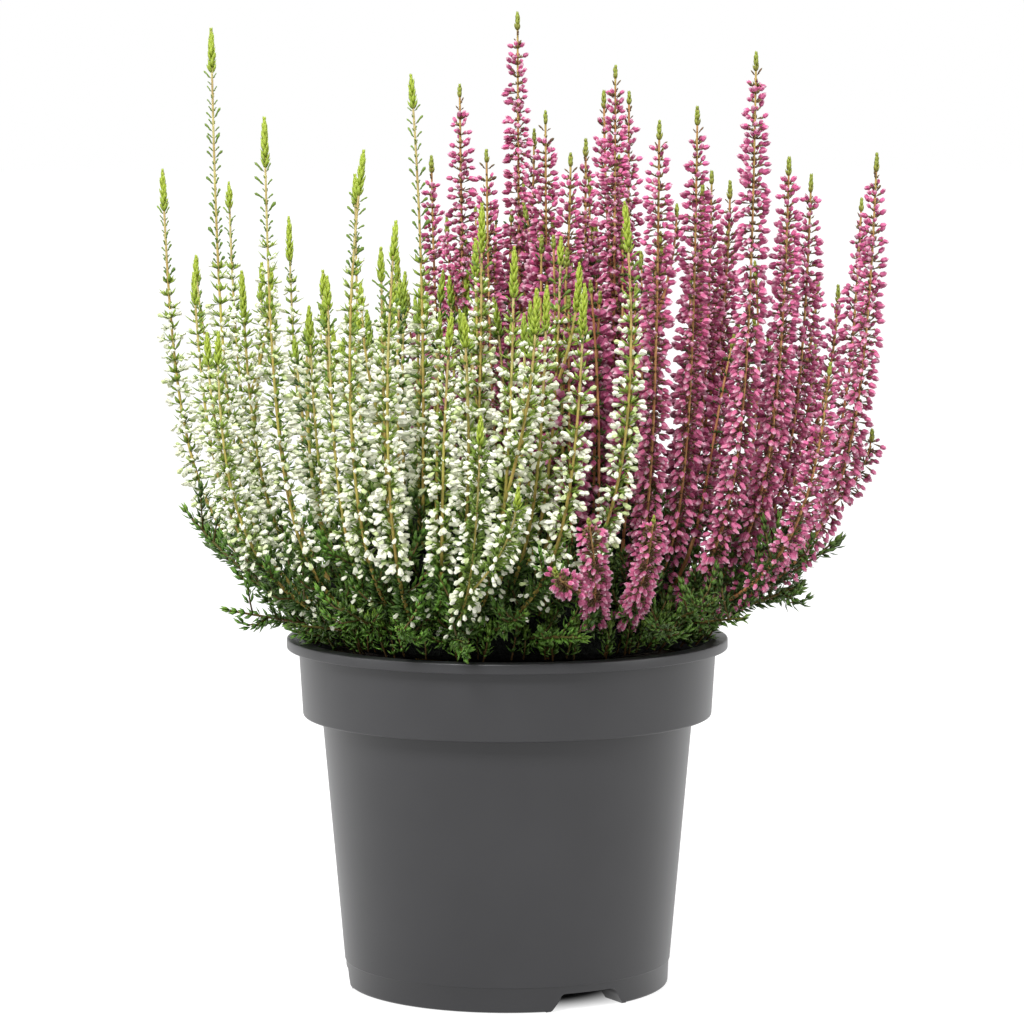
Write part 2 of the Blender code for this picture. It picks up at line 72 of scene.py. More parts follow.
# The studio, in metres: its soft lights, each with a place, a size and a shine, where they look,
# how bright the surroundings are in front of the plant and behind it, and how much the camera's
# view of the floor is lifted to white, from one distance to another from the pot's middle.
LIGHTS = (
    ("front_light", (-0.45, -1.4, 1.4), 0.65, 1.0),
    ("right_light", (1.4, -0.5, 0.6), 1.0, 0.43),
    ("left_light", (-1.4, -0.3, 0.6), 1.0, 0.37),
    ("top_light", (0.1, 0.1, 1.7), 0.7, 0.5),
)
LIGHTS_AIM = (0.0, 0.0, 0.15)
SKY_SHINE = (0.3, 1.1)
FLOOR_GLOW = 0.85
GLOW_FROM = 0.030
GLOW_TO = 0.047
FLOOR_HALF = 30000.0
FLOOR_Z = -0.2

# The pot. Its inner edges have slopes of INNER_EDGE, and the ledge over its body one of LEDGE_EDGE.
POT_HEIGHT = 103.0
LIP_RADIUS = 65.1
LIP_HEIGHT = 3.0
LIP_ROUND = 0.5
LIP_LOW_ROUND = 0.35
BAND_TOP_RADIUS = 61.6
BAND_BOTTOM_RADIUS = 60.4
BAND_BOTTOM = 80.0
BAND_ROUND = 0.7
BAND_FILLET = 0.5
BODY_TOP_RADIUS = 54.8
BODY_BOTTOM_RADIUS = 48.3
FOOT_TOP = 7.0
FOOT_STEP = 0.4
FOOT_RADIUS = 47.7
FOOT_ROUND = 0.8
FOOT_FLARE = 0.3
WALL = 1.3
INNER_EDGE = 1.0
LEDGE_EDGE = 0.6
FLOOR_LOW = 4.0
FLOOR_HIGH = 5.4
POT_SIDES = 180
SHARP_FROM = math.radians(38.0)
NOTCH_WIDTH = 19.0
NOTCH_HEIGHT = 5.1
NOTCH_ROUND = 1.7
NOTCH_FLARE = 2.6
NOTCH_REACH = 13.0
CHEEK_DEPTH = 11.0
CHEEK_STOP = 2.0
CHEEK_IN_FLOOR = 0.7
NOTCH_ANGLES = (-90.0, 30.0, 150.0)
DRAIN_HOLE_RADIUS = 4.0
DRAIN_RING_RADIUS = 30.0
DRAIN_HOLES = 5
DRAIN_SIDES = 32
NOTCH_SPARE = 1.0
DRAIN_SPARE = 2.0

# The peat: its level, the gap that it keeps from the wall, and the waves that its crumbs are made
# of, each as its width and its share, scaled in height by SOIL_CRUMB.
SOIL_TOP = 94.5
GAP = 0.3
SOIL_WAVES = ((24.0, 0.9), (11.0, 0.7), (6.0, 0.5), (3.4, 0.35), (2.1, 0.22))
SOIL_CRUMB = 1.1
SOIL_RINGS = 34
SOIL_SIDES = 120
# A plant's woody base, as (radius, height), and how rough it is.
STUMP_OUTLINE = (
    (0.0, 82.0), (3.6, 82.0), (4.1, 90.0), (4.0, 95.0), (4.9, 97.6), (4.4, 99.4), (2.0, 100.2),
    (0.0, 100.3),
)
STUMP_SIDES = 20
STUMP_ROUGHNESS = 0.12

# Where the stems start and how they run, as in the solids.
HUB_HEIGHT = 102.0
HUBS = {"white": (-22.0, -14.0), "pink": (24.0, 14.0)}
TURN_RISE = 30.0
FLOWERS_FROM = 130.0
INNER_FLOWERS_RISE = 35.0
INNER_SPREAD = 80.0
LOW_SPIKE_TIP = 180.0
LOW_FLOWERS_FROM = 119.0
FORK_BARE = 13.0
SHOOT_RISE = 12.0
# How many points a path is worked out at: that of a spike or its branch, of any other stem, and
# of a short side shoot.
SPIKE_POINTS = 60
STEM_POINTS = 40
SIDE_SHOOT_POINTS = 8

# Each spike: its tip (x, y, z), how far its middle bows aside (x, y), and the side spikes that
# fork from it, each as its tip and the height of its fork.
WHITE_SPIKES = (
    ((-103, 25, 240), (0, 0), ()),
    ((-83, -45, 280), (0, 0), ()),
    ((-67, -65, 255), (0, 0), ()),
    ((-39, -80, 246), (-5, 0), ()),
    ((-90, -25, 211), (0, 0), ()),
    ((-77, -13, 211), (0, 0), ((-72, 0, 213, 165), (-68, -20, 212, 175))),
    ((-80, -66, 196), (-2, 0), ((-84, -54, 195, 140),)),
    ((-56, -43, 202), (0, 0), ()),
    ((-35, -62, 219), (0, 0), ((-41, -53, 209, 165),)),
    ((-50, -62, 211), (0, 0), ()),
    ((-30, -90, 227), (-3, -2), ()),
    ((-27, -46, 267), (3, 0), ()),
    ((-15, -89, 202), (-2, 0), ()),
    ((-12, -70, 201), (2, 0), ()),
    ((-7, -50, 231), (0, 0), ((-9, -39, 221, 180),)),
    ((2, -92, 220), (0, 0), ((8, -98, 209, 150),)),
    ((11, -78, 209), (0, 0), ()),
    ((21, -93, 210), (0, 0), ()),
    ((15, -60, 222), (0, 0), ((20, -67, 215, 180),)),
    ((32, -84, 232), (4, 0), ()),
    ((-7, -105, 175), (0, 0), ((3, -106, 156, 124),)),
    ((-85, 50, 236), (0, 0), ((-94, 36, 214, 150),)),
    ((-68, 72, 225), (0, 0), ((-58, 84, 208, 150),)),
    ((-48, 88, 238), (0, 0), ((-36, 97, 205, 150),)),
    ((-34, 60, 215), (0, 0), ((-56, 42, 200, 145),)),
    ((-44, 8, 198), (0, 0), ((-52, 22, 192, 165),)),
)
PINK_SPIKES = (
    ((3, 5, 286), (0, 0), ((8, 25, 252, 190),)),
    ((-6, -14, 246), (0, 0), ()),
    ((-14, 8, 265), (0, 0), ((-18, 18, 226, 190),)),
    ((-23, 40, 244), (0, 0), ((-14, 52, 222, 180),)),
    ((11, -20, 257), (0, 0), ((18, -36, 245, 165),)),
    ((23, 5, 249), (0, 0), ()),
    ((31, -22, 270), (0, 0), ((28, -12, 263, 200),)),
    ((36, 15, 263), (0, 0), ()),
    ((42, -67, 254), (0, 0), ((47, -64, 231, 200),)),
    ((53, -56, 258), (0, 0), ()),
    ((58, -37, 240), (0, 0), ((64, -22, 237, 160),)),
    ((69, -60, 273), (0, 0), ()),
    ((79, -50, 244), (0, 0), ()),
    ((87, -26, 239), (0, 0), ()),
    ((102, -20, 232), (0, 0), ((105, -26, 166, 137),)),
    ((104, -45, 245), (0, 0), ()),
    ((90, -62, 187), (0, 0), ()),
    ((90, -6, 190), (0, 0), ((98, 12, 206, 138),)),
    ((22, -100, 147), (2, 0), ((13, -102, 134, 124),)),
    ((40, -92, 147), (0, 0), ()),
    ((60, 60, 236), (0, 0), ((66, 72, 215, 170),)),
    ((35, 88, 244), (0, 0), ((48, 84, 220, 165),)),
    ((5, 75, 236), (0, 0), ((-10, 72, 228, 170),)),
    ((85, 40, 228), (0, 0), ((93, 27, 208, 150),)),
    ((20, 101, 214), (0, 0), ((2, 103, 206, 150),)),
    ((25, 45, 238), (0, 0), ((38, 58, 214, 170),)),
    ((65, 8, 222), (0, 0), ((57, 20, 216, 172),)),
)
SPIKES = {"white": WHITE_SPIKES, "pink": PINK_SPIKES}

# The tips of the green leafy shoots that lean out over the pot's lip.
WHITE_PLANT_SHOOTS = (
    (-94, -4, 140), (-89, 24, 127), (-80, -30, 114), (-73, 4, 106), (-60, -50, 112),
    (-46, -64, 119), (-30, -74, 114), (-12, -78, 111), (5, -80, 119), (21, -77, 112),
    (-78, 40, 120), (-62, 56, 114), (-44, 72, 122),
)
PINK_PLANT_SHOOTS = (
    (46, -68, 113), (58, -60, 120), (67, -48, 114), (84, -34, 122), (96, -8, 132),
    (87, 14, 115), (78, 42, 120), (60, 62, 113), (42, 76, 121), (20, 84, 114),
    (-2, 86, 119), (-24, 80, 114),
)
SHOOTS = {"white": WHITE_PLANT_SHOOTS, "pink": PINK_PLANT_SHOOTS}

# How each plant grows. Lengths are true sizes; distances are measured back from a spike's tip.
# The low flowers are single ones on a branch, below its spike's full rows: how far down they go,
# and the share of the arms that bear one. Rows of arms are further apart at the tip than below.
# Buds and leaves on the stems inside the bush are darker as painted shade: their tint starts at
# this value, the darkest being 1.
HABITS = {
    "white": {
        "cone": 10.5,
        "cone_leaf": 3.2,
        "rows": (3.4, 3.0),
        "arm": 2.6,
        "arm_leaf": (2.9, 4.4),
        "arm_leaf_width": 0.86,
        "bud_shape": ((0.0, 0.0), (0.7, 0.26), (1.0, 0.78), (0.0, 1.0)),
        "bud_length": 2.45,
        "bud_width": 0.72,
        "first_size": 0.65,
        "pair_size": 0.85,
        "low_flowers": (32.0, 0.28),
        "side_buds": (0.9, 0.45),
        "inner_painted_shade": 0.0,
        "fullness": (0.64, 0.9),
        "ripe_growth": 0.1,
        "green_by_tip": ((200.0, 246.0, 280.0), (10.0, 34.0, 64.0)),
        "opening": 18.0,
    },
    "pink": {
        "cone": 3.8,
        "cone_leaf": 2.3,
        "rows": (2.2, 1.9),
        "arm": 2.2,
        "arm_leaf": (1.2, 1.9),
        "arm_leaf_width": 0.45,
        "bud_shape": ((0.0, 0.0), (1.0, 0.3), (0.85, 0.74), (0.0, 1.0)),
        "bud_length": 2.8,
        "bud_width": 0.76,
        "first_size": 0.85,
        "pair_size": 0.66,
        "low_flowers": (45.0, 0.6),
        "side_buds": (0.3,),
        "inner_painted_shade": 0.75,
        "fullness": (0.88, 1.0),
        "ripe_growth": 0.05,
        "green_by_tip": ((200.0, 280.0), (7.0, 10.0)),
        "opening": 20.0,
    },
}
# Directions of the arms round a stem, from the way that it faces, in one row and in the next.
# None is within 40 degrees, which keeps the stem in view.
ARM_TURNS = np.radians([(64.0, 118.0, 180.0, 242.0, 296.0), (40.0, 88.0, 145.0, 272.0, 320.0)])
# How an arm rises from level, in radians, by its distance below the first flowers, and how far
# below them the buds are ripe.
ARM_RISE = ((0.0, 20.0, 60.0, 100.0), (0.7, 0.3, 0.0, -0.3))
RIPE_AFTER = 70.0
# How many rows it takes from the first distance between them to the second, and the most rows on
# a stem.
WIDE_ROWS = 14
MOST_ROWS = 150
# The flowers of low spikes are as ripe as others are this far down, and their rows are finer.
LOW_RIPE = 45.0
LOW_FINENESS = 0.8
# The size of the green part at a stem's tip, by the tip's height.
TIP_SIZES = ((150.0, 200.0), (0.55, 1.0))
# The half width of an arm's stalk, and how far the oldest buds hang, as a slope.
ARM_HALF_WIDTH = 0.34
HANG = 0.35
# Spikes keep the side that faces outwards, and a little to the front, clear for the stem.
FRONT_SHARE = 0.8

# The cone of young leaves: where it starts, its rows, how far in or out they lean in radians, and
# the half widths of its smallest and largest leaves.
CONE_START = 0.8
CONE_ROW = 1.45
CONE_LEANS = (-0.12, 0.13, 0.38)
CONE_LEAF_HALF_WIDTHS = (0.3, 0.74)
# The green pairs under it: their rows, the size of those in front and behind, their lean in
# radians, and the sizes of a stalk and of a bud, which is slimmer near the cone.
PAIR_ROW = 3.7
FRONT_PAIR_SIZE = 0.62
PAIR_LEAN = 0.72
PAIR_STALK = 1.4
PAIR_STALK_HALF_WIDTH = 0.24
PAIR_BUD = 2.4
PAIR_BUD_HALF_WIDTHS = (0.4, 0.8)
# Needle leaves: their rows, their length and half width, their lean in radians at a shoot's tip
# and further down, and how far from the tip they are fully aged.
NEEDLE_ROW = 2.2
NEEDLE = 3.5
NEEDLE_HALF_WIDTH = 0.72
NEEDLE_LEANS = (0.3, 0.95)
NEEDLES_OLD_AFTER = 60.0
# The radii of stems, branches and shoots at their ends and at their starts.
STEM_RADII = (0.32, 0.47)
BRANCH_RADII = (0.54, 0.82)
SHOOT_RADII = (0.3, 0.7)
SIDE_SHOOT_RADII = (0.24, 0.36)
TUFT_RADII = (0.22, 0.35)
# How old their bark is at their ends and at their starts, from 0 to 1, and how old the needle
# leaves at their tips are.
STEM_BARK = (0.0, 0.75)
BRANCH_BARK = (0.75, 1.0)
SHOOT_BARK = (0.2, 0.9)
SIDE_SHOOT_BARK = (0.1, 0.7)
TUFT_BARK = (0.1, 0.9)
BRANCH_NEEDLES = 0.6
SHOOT_NEEDLES = 0.35
SIDE_SHOOT_NEEDLES = 0.4
TUFT_NEEDLES = 0.33

# Short side shoots on the branches: how far apart, how long, and the lowest that they may hang.
SIDE_SHOOT_STEP = 4.7
SIDE_SHOOT_LENGTHS = (8.0, 16.0)
LOWEST_LEAF = 104.0
# The dark inside of the bush, a dome whose near-black colour is painted shade, as (radius,
# height), which of these points is the widest, and how lumpy it is. Tufts stand on it, and more
# of them just inside the pot's rim.
INNER_OUTLINE = (
    (0.0, 101.5), (30.0, 101.5), (50.0, 101.7), (53.5, 103.5), (54.5, 107.0), (54.0, 114.0),
    (51.0, 124.0), (45.0, 134.0), (34.0, 142.0), (16.0, 147.0), (0.0, 148.0),
)
INNER_WIDEST = 4
INNER_LUMP = 3.0
INNER_RINGS = 44
INNER_SIDES = 96
TUFTS = 420
TUFT_LENGTHS = (7.0, 15.0)
RIM_TUFTS = 96
RIM_TUFT_RADII = (53.0, 59.0)
RIM_TUFT_HEIGHTS = (102.0, 103.5)
# Two points in plan on the line that divides the plants.
DIVIDE_FRONT = (17.0, -64.0)
DIVIDE_BACK = (-30.0, 60.0)
# Flowering stems inside the bush: how many, how far from the pot's axis they end, between which
# heights, how low they flower, and how coarse their rows are drawn.
INNER_STEMS = {"white": 33, "pink": 47}
INNER_STEMS_SPREAD = {"white": 76.0, "pink": 82.0}
INNER_STEMS_ENDS = {"white": (182.0, 216.0), "pink": (190.0, 232.0)}
INNER_FLOWERS_LOW = {"white": 146.0, "pink": 134.0}
INNER_COARSE = 1.4


def unit(vectors):
    """The vectors, each at length one."""
    return vectors / np.maximum(np.linalg.norm(vectors, axis=-1, keepdims=True), 1e-9)


def across(direction, towards):
    """Unit vectors at right angles to the directions, on the side that is to be faced."""
    direction = unit(direction)
    return unit(towards - (towards * direction).sum(-1, keepdims=True) * direction)


def reach(height):
    """The share of the way out that a stem has run: 1 - 1 / (1 + rise / TURN_RISE) squared."""
    return 1.0 - 1.0 / (1.0 + (height - HUB_HEIGHT) / TURN_RISE) ** 2


def stem_path(hub, tip, bow, heights):
    """Points on a stem from its hub to its tip, at the given heights. The bow is a parabola."""
    share = reach(heights) / reach(tip[2])
    along = (heights - HUB_HEIGHT) / (tip[2] - HUB_HEIGHT)
    bump = 4.0 * along * (1.0 - along)
    x = hub[0] + (tip[0] - hub[0]) * share + bow[0] * bump
    y = hub[1] + (tip[1] - hub[1]) * share + bow[1] * bump
    return np.stack([x, y, heights], axis=1)


def fork_path(start, tip):
    """Points on a side stem: sideways by 1 - (1 - u) squared while it rises evenly."""
    u = np.linspace(0.0, 1.0, STEM_POINTS)[:, None]
    start = np.asarray(start, dtype=float)
    tip = np.asarray(tip, dtype=float)
    outward = 1.0 - (1.0 - u) ** 2
    return start + (tip - start) * np.concatenate([outward, outward, u], axis=1)


def shoot_path(hub, tip):
    """Points on a leafy shoot: straight in plan, rising by SHOOT_RISE * u and a cube of u."""
    u = np.linspace(0.0, 1.0, STEM_POINTS)
    x = hub[0] + (tip[0] - hub[0]) * u
    y = hub[1] + (tip[1] - hub[1]) * u
    z = HUB_HEIGHT + SHOOT_RISE * u + (tip[2] - HUB_HEIGHT - SHOOT_RISE) * u ** 3
    return np.stack([x, y, z], axis=1)


def first_flower(tip):
    """The height where a spike's flowers start."""
    if tip[2] < LOW_SPIKE_TIP:
        return LOW_FLOWERS_FROM
    spread = math.hypot(tip[0], tip[1])
    return FLOWERS_FROM + INNER_FLOWERS_RISE * max(0.0, 1.0 - spread / INNER_SPREAD)


def distances(path):
    """How far each point of a path lies along it."""
    steps = np.linalg.norm(np.diff(path, axis=0), axis=1)
    return np.concatenate([[0.0], np.cumsum(steps)])


def read_path(path, back):
    """Places and directions on a path, at distances back from its end."""
    travelled = distances(path)
    at = travelled[-1] - back
    ends = []
    for shift in (0.0, 0.5, -0.5):
        where = np.clip(at + shift, 0.0, travelled[-1])
        ends.append(np.stack([np.interp(where, travelled, path[:, i]) for i in range(3)], axis=-1))
    return ends[0], unit(ends[1] - ends[2])


def tube_triangles(rings, sides):
    """Outward triangles of a pole, rings of points and another pole, in that order."""
    here = np.arange(sides)
    after = (here + 1) % sides
    last = 1 + (rings - 1) * sides
    top = 1 + rings * sides
    foot = np.stack([np.zeros(sides, int), 1 + after, 1 + here], axis=1)
    head = np.stack([last + here, last + after, np.full(sides, top)], axis=1)
    low = 1 + np.arange(rings - 1)[:, None] * sides
    a, b = low + here, low + after
    c, d = b + sides, a + sides
    bands = np.stack([np.stack([a, b, c], -1), np.stack([a, c, d], -1)], axis=-2)
    return np.concatenate([foot, bands.reshape(-1, 3), head])


def turned_shape(outline, sides, centre=(0.0, 0.0)):
    """A turned shape from a section of (radius, height) with both ends on the axis: a grid of
    its points by sides, x = r cos(a) and y = r sin(a), and a pole at each end. Returns its points
    and triangles."""
    radii, heights = np.array(outline).T
    angle = np.arange(sides) * 2.0 * math.pi / sides
    ring = np.stack([np.cos(angle), np.sin(angle), np.zeros(sides)], axis=-1)
    rings = radii[1:-1, None, None] * ring + np.array([0.0, 0.0, 1.0]) * heights[1:-1, None, None]
    poles = np.array([(0.0, 0.0, heights[0]), (0.0, 0.0, heights[-1])])
    points = np.concatenate([poles[:1], rings.reshape(-1, 3), poles[1:]])
    return points + np.array([*centre, 0.0]), tube_triangles(len(outline) - 2, sides)


# Shapes of length one, which are copied by the thousand: an egg-shaped bud for each plant, a needle
# leaf, a broader leaf for the cones at the tips, and a stalk.
BUDS = {plant: turned_shape(habit["bud_shape"], 4) for plant, habit in HABITS.items()}
LEAF = turned_shape(((0.0, 0.0), (1.0, 0.45), (0.0, 1.0)), 3)
CONE_LEAF = turned_shape(((0.0, 0.0), (0.8, 0.22), (0.9, 0.6), (0.0, 1.0)), 3)
STALK = turned_shape(((0.0, 0.0), (1.0, 0.85), (0.0, 1.0)), 3)


def placed(shape, roots, directions, towards, length, width, thickness, tint, age, bend=0.0):
    """Copies of a shape of length one. Each runs from its root along its direction, turned so
    that its Y side faces `towards`, and a bend moves a point by bend * z * z to that side. Each
    point's look is how far along the copy it lies, and the copy's tint and age."""
    points, triangles = shape
    roots, up, towards = (rows.reshape(-1, 3) for rows in (roots, unit(directions), towards))
    front = across(up, towards)
    side = np.cross(front, up)
    length, width, thickness, tint, age, bend = (
        np.broadcast_to(np.ravel(value), len(roots))[:, None]
        for value in (length, width, thickness, tint, age, bend)
    )
    x, y, z = points.T
    aside = (width * x)[..., None] * side[:, None]
    forward = (thickness * y + bend * z ** 2)[..., None] * front[:, None]
    moved = roots[:, None] + aside + forward + (length * z)[..., None] * up[:, None]
    look = np.stack(np.broadcast_arrays(z, tint, age), axis=-1)
    starts = np.arange(len(roots))[:, None, None] * len(points)
    return moved.reshape(-1, 3), (triangles + starts).reshape(-1, 3), look.reshape(-1, 3)


def carried(path, radii, sides, towards, step, tint, age):
    """A round section carried along a path, from a point at its start to one at its end. The
    radius goes from the first value at the path's end to the second at its start, and the age
    from the first to the second likewise."""
    length = distances(path)[-1]
    back = np.linspace(length - 0.5, 0.4, max(3, int(length / step)))
    centres, ahead = read_path(path, back)
    front = across(ahead, towards)
    side = np.cross(front, ahead)
    share = (back / length)[:, None]
    radius = radii[0] + (radii[1] - radii[0]) * share
    angle = np.arange(sides) * 2.0 * math.pi / sides
    ring = np.cos(angle)[:, None] * side[:, None] + np.sin(angle)[:, None] * front[:, None]
    rings = centres[:, None] + radius[..., None] * ring
    points = np.concatenate([path[:1], rings.reshape(-1, 3), path[-1:]])
    ages = age[0] + (age[1] - age[0]) * np.concatenate([[1.0], np.repeat(share, sides), [0.0]])
    look = np.stack([1.0 - ages, np.full(len(points), tint), ages], axis=-1)
    return points, tube_triangles(len(centres), sides), look


def around(ahead, facing, turns):
    """Unit vectors square to each stem direction, at the given turns from the way it faces."""
    front = across(ahead, facing)
    side = np.cross(ahead, front)
    return np.cos(turns)[..., None] * front[:, None] + np.sin(turns)[..., None] * side[:, None]


def leaning(ahead, out, lean):
    """Directions that lean from the stem's way towards the ways out of it, by angles."""
    return ahead[:, None] * np.cos(lean)[..., None] + out * np.sin(lean)[..., None]


def rows_of_four(rng, path, back, facing, turn_spread, lean, lean_spread):
    """Leaves in rows of four, each row turned by an eighth and leaning out by its own angle. A
    spread is how much single leaves stray. Returns the stem's places, the ways out of it and the
    leaves' directions."""
    places, ahead = read_path(path, back)
    turns = np.arange(4) * math.pi / 2 + np.arange(len(back))[:, None] * math.pi / 4
    out = around(ahead, facing, turns + rng.normal(0.0, turn_spread, turns.shape))
    lean = lean[:, None] + rng.normal(0.0, lean_spread, turns.shape)
    return places[:, None], out, leaning(ahead, out, lean)


def cone_leaves(rng, path, habit, cone, facing):
    """The pointed cone of overlapping young leaves at a spike's tip. They lengthen and lean out
    more with their distance from the tip, and the first ones lean in, which closes the point."""
    leaf = habit["cone_leaf"]
    back = np.arange(CONE_START, cone + 0.8 * leaf, CONE_ROW)
    lean = np.interp(back, (CONE_START, 5.0, cone + leaf), CONE_LEANS)
    places, out, direction = rows_of_four(rng, path, back, facing, 0.15, lean, 0.06)
    length = np.minimum(leaf, 0.5 * back + 0.9)[:, None] * rng.uniform(0.88, 1.1, (len(back), 4))
    width = np.interp(length, (0.5, leaf), CONE_LEAF_HALF_WIDTHS)
    tint = rng.uniform(0.0, 0.5, width.size)
    age = np.repeat(np.interp(back, (0.0, cone + leaf), (0.0, 0.25)), 4)
    roots = places + out * 0.25
    return placed(CONE_LEAF, roots, direction, out, length, width, 0.55 * width, tint, age, 0.25)


def green_pairs(rng, path, start, end, plant, facing):
    """Small green buds and leaves in opposite pairs, below the cone and above the flowers. Pairs
    to the sides take turns with smaller ones in front and behind."""
    back = np.arange(start, end, PAIR_ROW / 2) + 0.8
    if len(back) == 0:
        return []
    places, ahead = read_path(path, back)
    in_front = np.arange(len(back))[:, None] % 2
    turns = math.pi / 2 * (1 - in_front) + np.array([0.0, math.pi])
    out = around(ahead, facing, turns + rng.normal(0.0, 0.25, turns.shape))
    size = np.where(in_front, FRONT_PAIR_SIZE, 1.0) * rng.uniform(0.6, 1.25, turns.shape)
    size = HABITS[plant]["pair_size"] * size
    lean = rng.normal(PAIR_LEAN, 0.14, turns.shape)
    direction = leaning(ahead, out, lean)
    roots = places[:, None] + out * 0.3
    tint = rng.uniform(0.0, 1.0, turns.size)
    age = np.repeat(np.interp(back, (start, end + 1.0), (0.6, 0.95)), 2)
    stalk, wide = PAIR_STALK * size, PAIR_STALK_HALF_WIDTH
    stalks = placed(STALK, roots, direction, out, stalk + 0.5, wide, wide, tint, age)
    ends = roots + direction * stalk[..., None]
    length = PAIR_BUD * size
    width = np.interp(back, (start, end + 1.0), PAIR_BUD_HALF_WIDTHS)[:, None] * size
    bud_way = direction + 0.15 * out
    buds = placed(BUDS[plant], ends, bud_way, out, length, width, 0.85 * width, tint, age)
    leaf_way = leaning(ahead, out, lean + 0.3)
    leaves = placed(LEAF, roots, leaf_way, out, length, 0.36, 0.2, tint, age, -0.4)
    return [stalks, buds, leaves]


def buds_on_arms(rng, plant, coarse, roots, direction, forward, arm, ripe, grown, tint):
    """Arms with a bud at each end, and in rows that are neither coarse nor fine perhaps others on
    their sides. Buds are small at first and full-grown after the opening length, and the oldest
    are larger still and hang. Returns the buds and the arms' stalks."""
    habit, bud = HABITS[plant], BUDS[plant]
    count = len(arm)
    first = habit["first_size"]
    size = first + (1.0 - first) * grown + habit["ripe_growth"] * ripe
    size = coarse * size * rng.uniform(0.85, 1.12, count)
    wide, age = ARM_HALF_WIDTH, 0.4 + 0.4 * ripe
    stalks = placed(STALK, roots, direction, forward, arm + 0.5, wide, wide, tint, age)
    length, width = habit["bud_length"], habit["bud_width"]
    hang = np.array([0.0, 0.0, -HANG]) * ripe[:, None]
    way = direction + hang + rng.normal(0.0, 0.2, (count, 3))
    ends = roots + direction * arm[:, None]
    wide = width * size
    flowers = [placed(bud, ends, way, forward, length * size, wide, wide, tint, ripe)]
    for chance in habit["side_buds"] if coarse == 1.0 else ():
        extra = rng.uniform(size=count) < chance * grown
        way = unit(direction + hang + rng.normal(0.0, 0.75, (count, 3)))
        side_roots = roots + direction * (arm * rng.uniform(0.3, 0.8, count))[:, None] + way * 0.4
        less = size * rng.uniform(0.8, 1.0, count)
        tint = rng.uniform(0.0, 1.0, count)
        rows = (side_roots, way, forward, length * less, width * less, width * less, tint, ripe)
        flowers.append(placed(bud, *(values[extra] for values in rows)))
    return flowers, stalks


def flower_rows(rng, path, start, end, plant, facing, share, ripe_from, coarse):
    """Rows of short arms on a stem, each with a leaf at its root, and a share of them with buds.
    Coarse rows, above one, are further apart by the square of that value and have larger single
    buds, so they cover as much, and below one they are closer with smaller ones. Returns the
    flower parts and the green parts."""
    habit = HABITS[plant]
    gaps = coarse ** 2 * np.interp(np.arange(MOST_ROWS), (0, WIDE_ROWS), habit["rows"])
    back = start + np.cumsum(gaps) - gaps[0]
    back = back[back < end]
    if len(back) == 0:
        return [], []
    back = back + rng.normal(0.0, 0.25, len(back))
    places, ahead = read_path(path, back)
    turns = ARM_TURNS[np.arange(len(back)) % 2]
    turns = turns + rng.normal(0.0, 0.5 if ripe_from else 0.16, turns.shape)
    out = around(ahead, facing, turns)
    below = back - start + ripe_from
    grown = np.clip(below / habit["opening"], 0.0, 1.0)
    ripe = np.clip(below / RIPE_AFTER, 0.0, 1.0)
    rise = np.interp(below, *ARM_RISE)[:, None] + rng.normal(0.0, 0.2, turns.shape)
    direction = out * np.cos(rise)[..., None] + ahead[:, None] * np.sin(rise)[..., None]
    arm = habit["arm"] * (0.5 + 0.5 * grown)[:, None] * rng.uniform(0.7, 1.2, turns.shape)

    # From here each arm is a row of its own.
    roots = (places[:, None] + out * 0.3).reshape(-1, 3)
    direction, out, arm = direction.reshape(-1, 3), out.reshape(-1, 3), arm.ravel()
    forward, ripe, grown = (np.repeat(rows, turns.shape[1], axis=0) for rows in (ahead, ripe, grown))
    count = len(arm)
    # Painted shade: on the coarse stems inside the bush the tint starts at the plant's inner value, which
    # darkens their buds and leaves.
    tint = rng.uniform(habit["inner_painted_shade"] if coarse > 1.0 else 0.0, 1.0, count)
    leaf_way = out + forward * rng.uniform(0.2, 1.2, count)[:, None]
    leaf = rng.uniform(*habit["arm_leaf"], count)
    width, age = habit["arm_leaf_width"], 0.32 + 0.45 * ripe
    leaves = placed(LEAF, roots, leaf_way, forward, leaf, width, 0.26, tint, age, 0.5)
    keep = rng.uniform(size=count) < share * (0.75 + 0.25 * grown)
    arms = (rows[keep] for rows in (roots, direction, forward, arm, ripe, grown, tint))
    flowers, stalks = buds_on_arms(rng, plant, coarse, *arms)
    return flowers, [stalks, leaves]


def flowering_stem(rng, path, bare, plant, facing, tip_height, coarse=1.0):
    """One flowering stem of a spike: its own stem, the leafy cone, the green pairs under it and
    the flowers below, down to a bare length at its foot. Low ones have a small green part, are
    ripe all along and have finer rows. Returns flowers, greens and bark."""
    habit = HABITS[plant]
    length = distances(path)[-1]
    small = np.interp(tip_height, *TIP_SIZES)
    green_end = np.interp(tip_height, *habit["green_by_tip"]) * rng.uniform(0.85, 1.15)
    green_end = small * min(green_end, 0.45 * length)
    cone = min(small * habit["cone"] * rng.uniform(0.6, 1.2), 0.8 * green_end)
    tips = cone_leaves(rng, path, habit, cone, facing)
    pairs = green_pairs(rng, path, cone + 2.0, green_end, plant, facing)
    share = rng.uniform(*habit["fullness"])
    low = tip_height < LOW_SPIKE_TIP
    flowers, arms = flower_rows(
        rng, path, green_end, length - bare, plant, facing, share, LOW_RIPE * low,
        LOW_FINENESS if low else coarse,
    )
    radii = np.array(STEM_RADII) * (0.7 if low else 1.0)
    bark = carried(path, radii, 6, facing, 4.0, rng.uniform(), STEM_BARK)
    return flowers, [tips, *pairs, *arms], [bark]


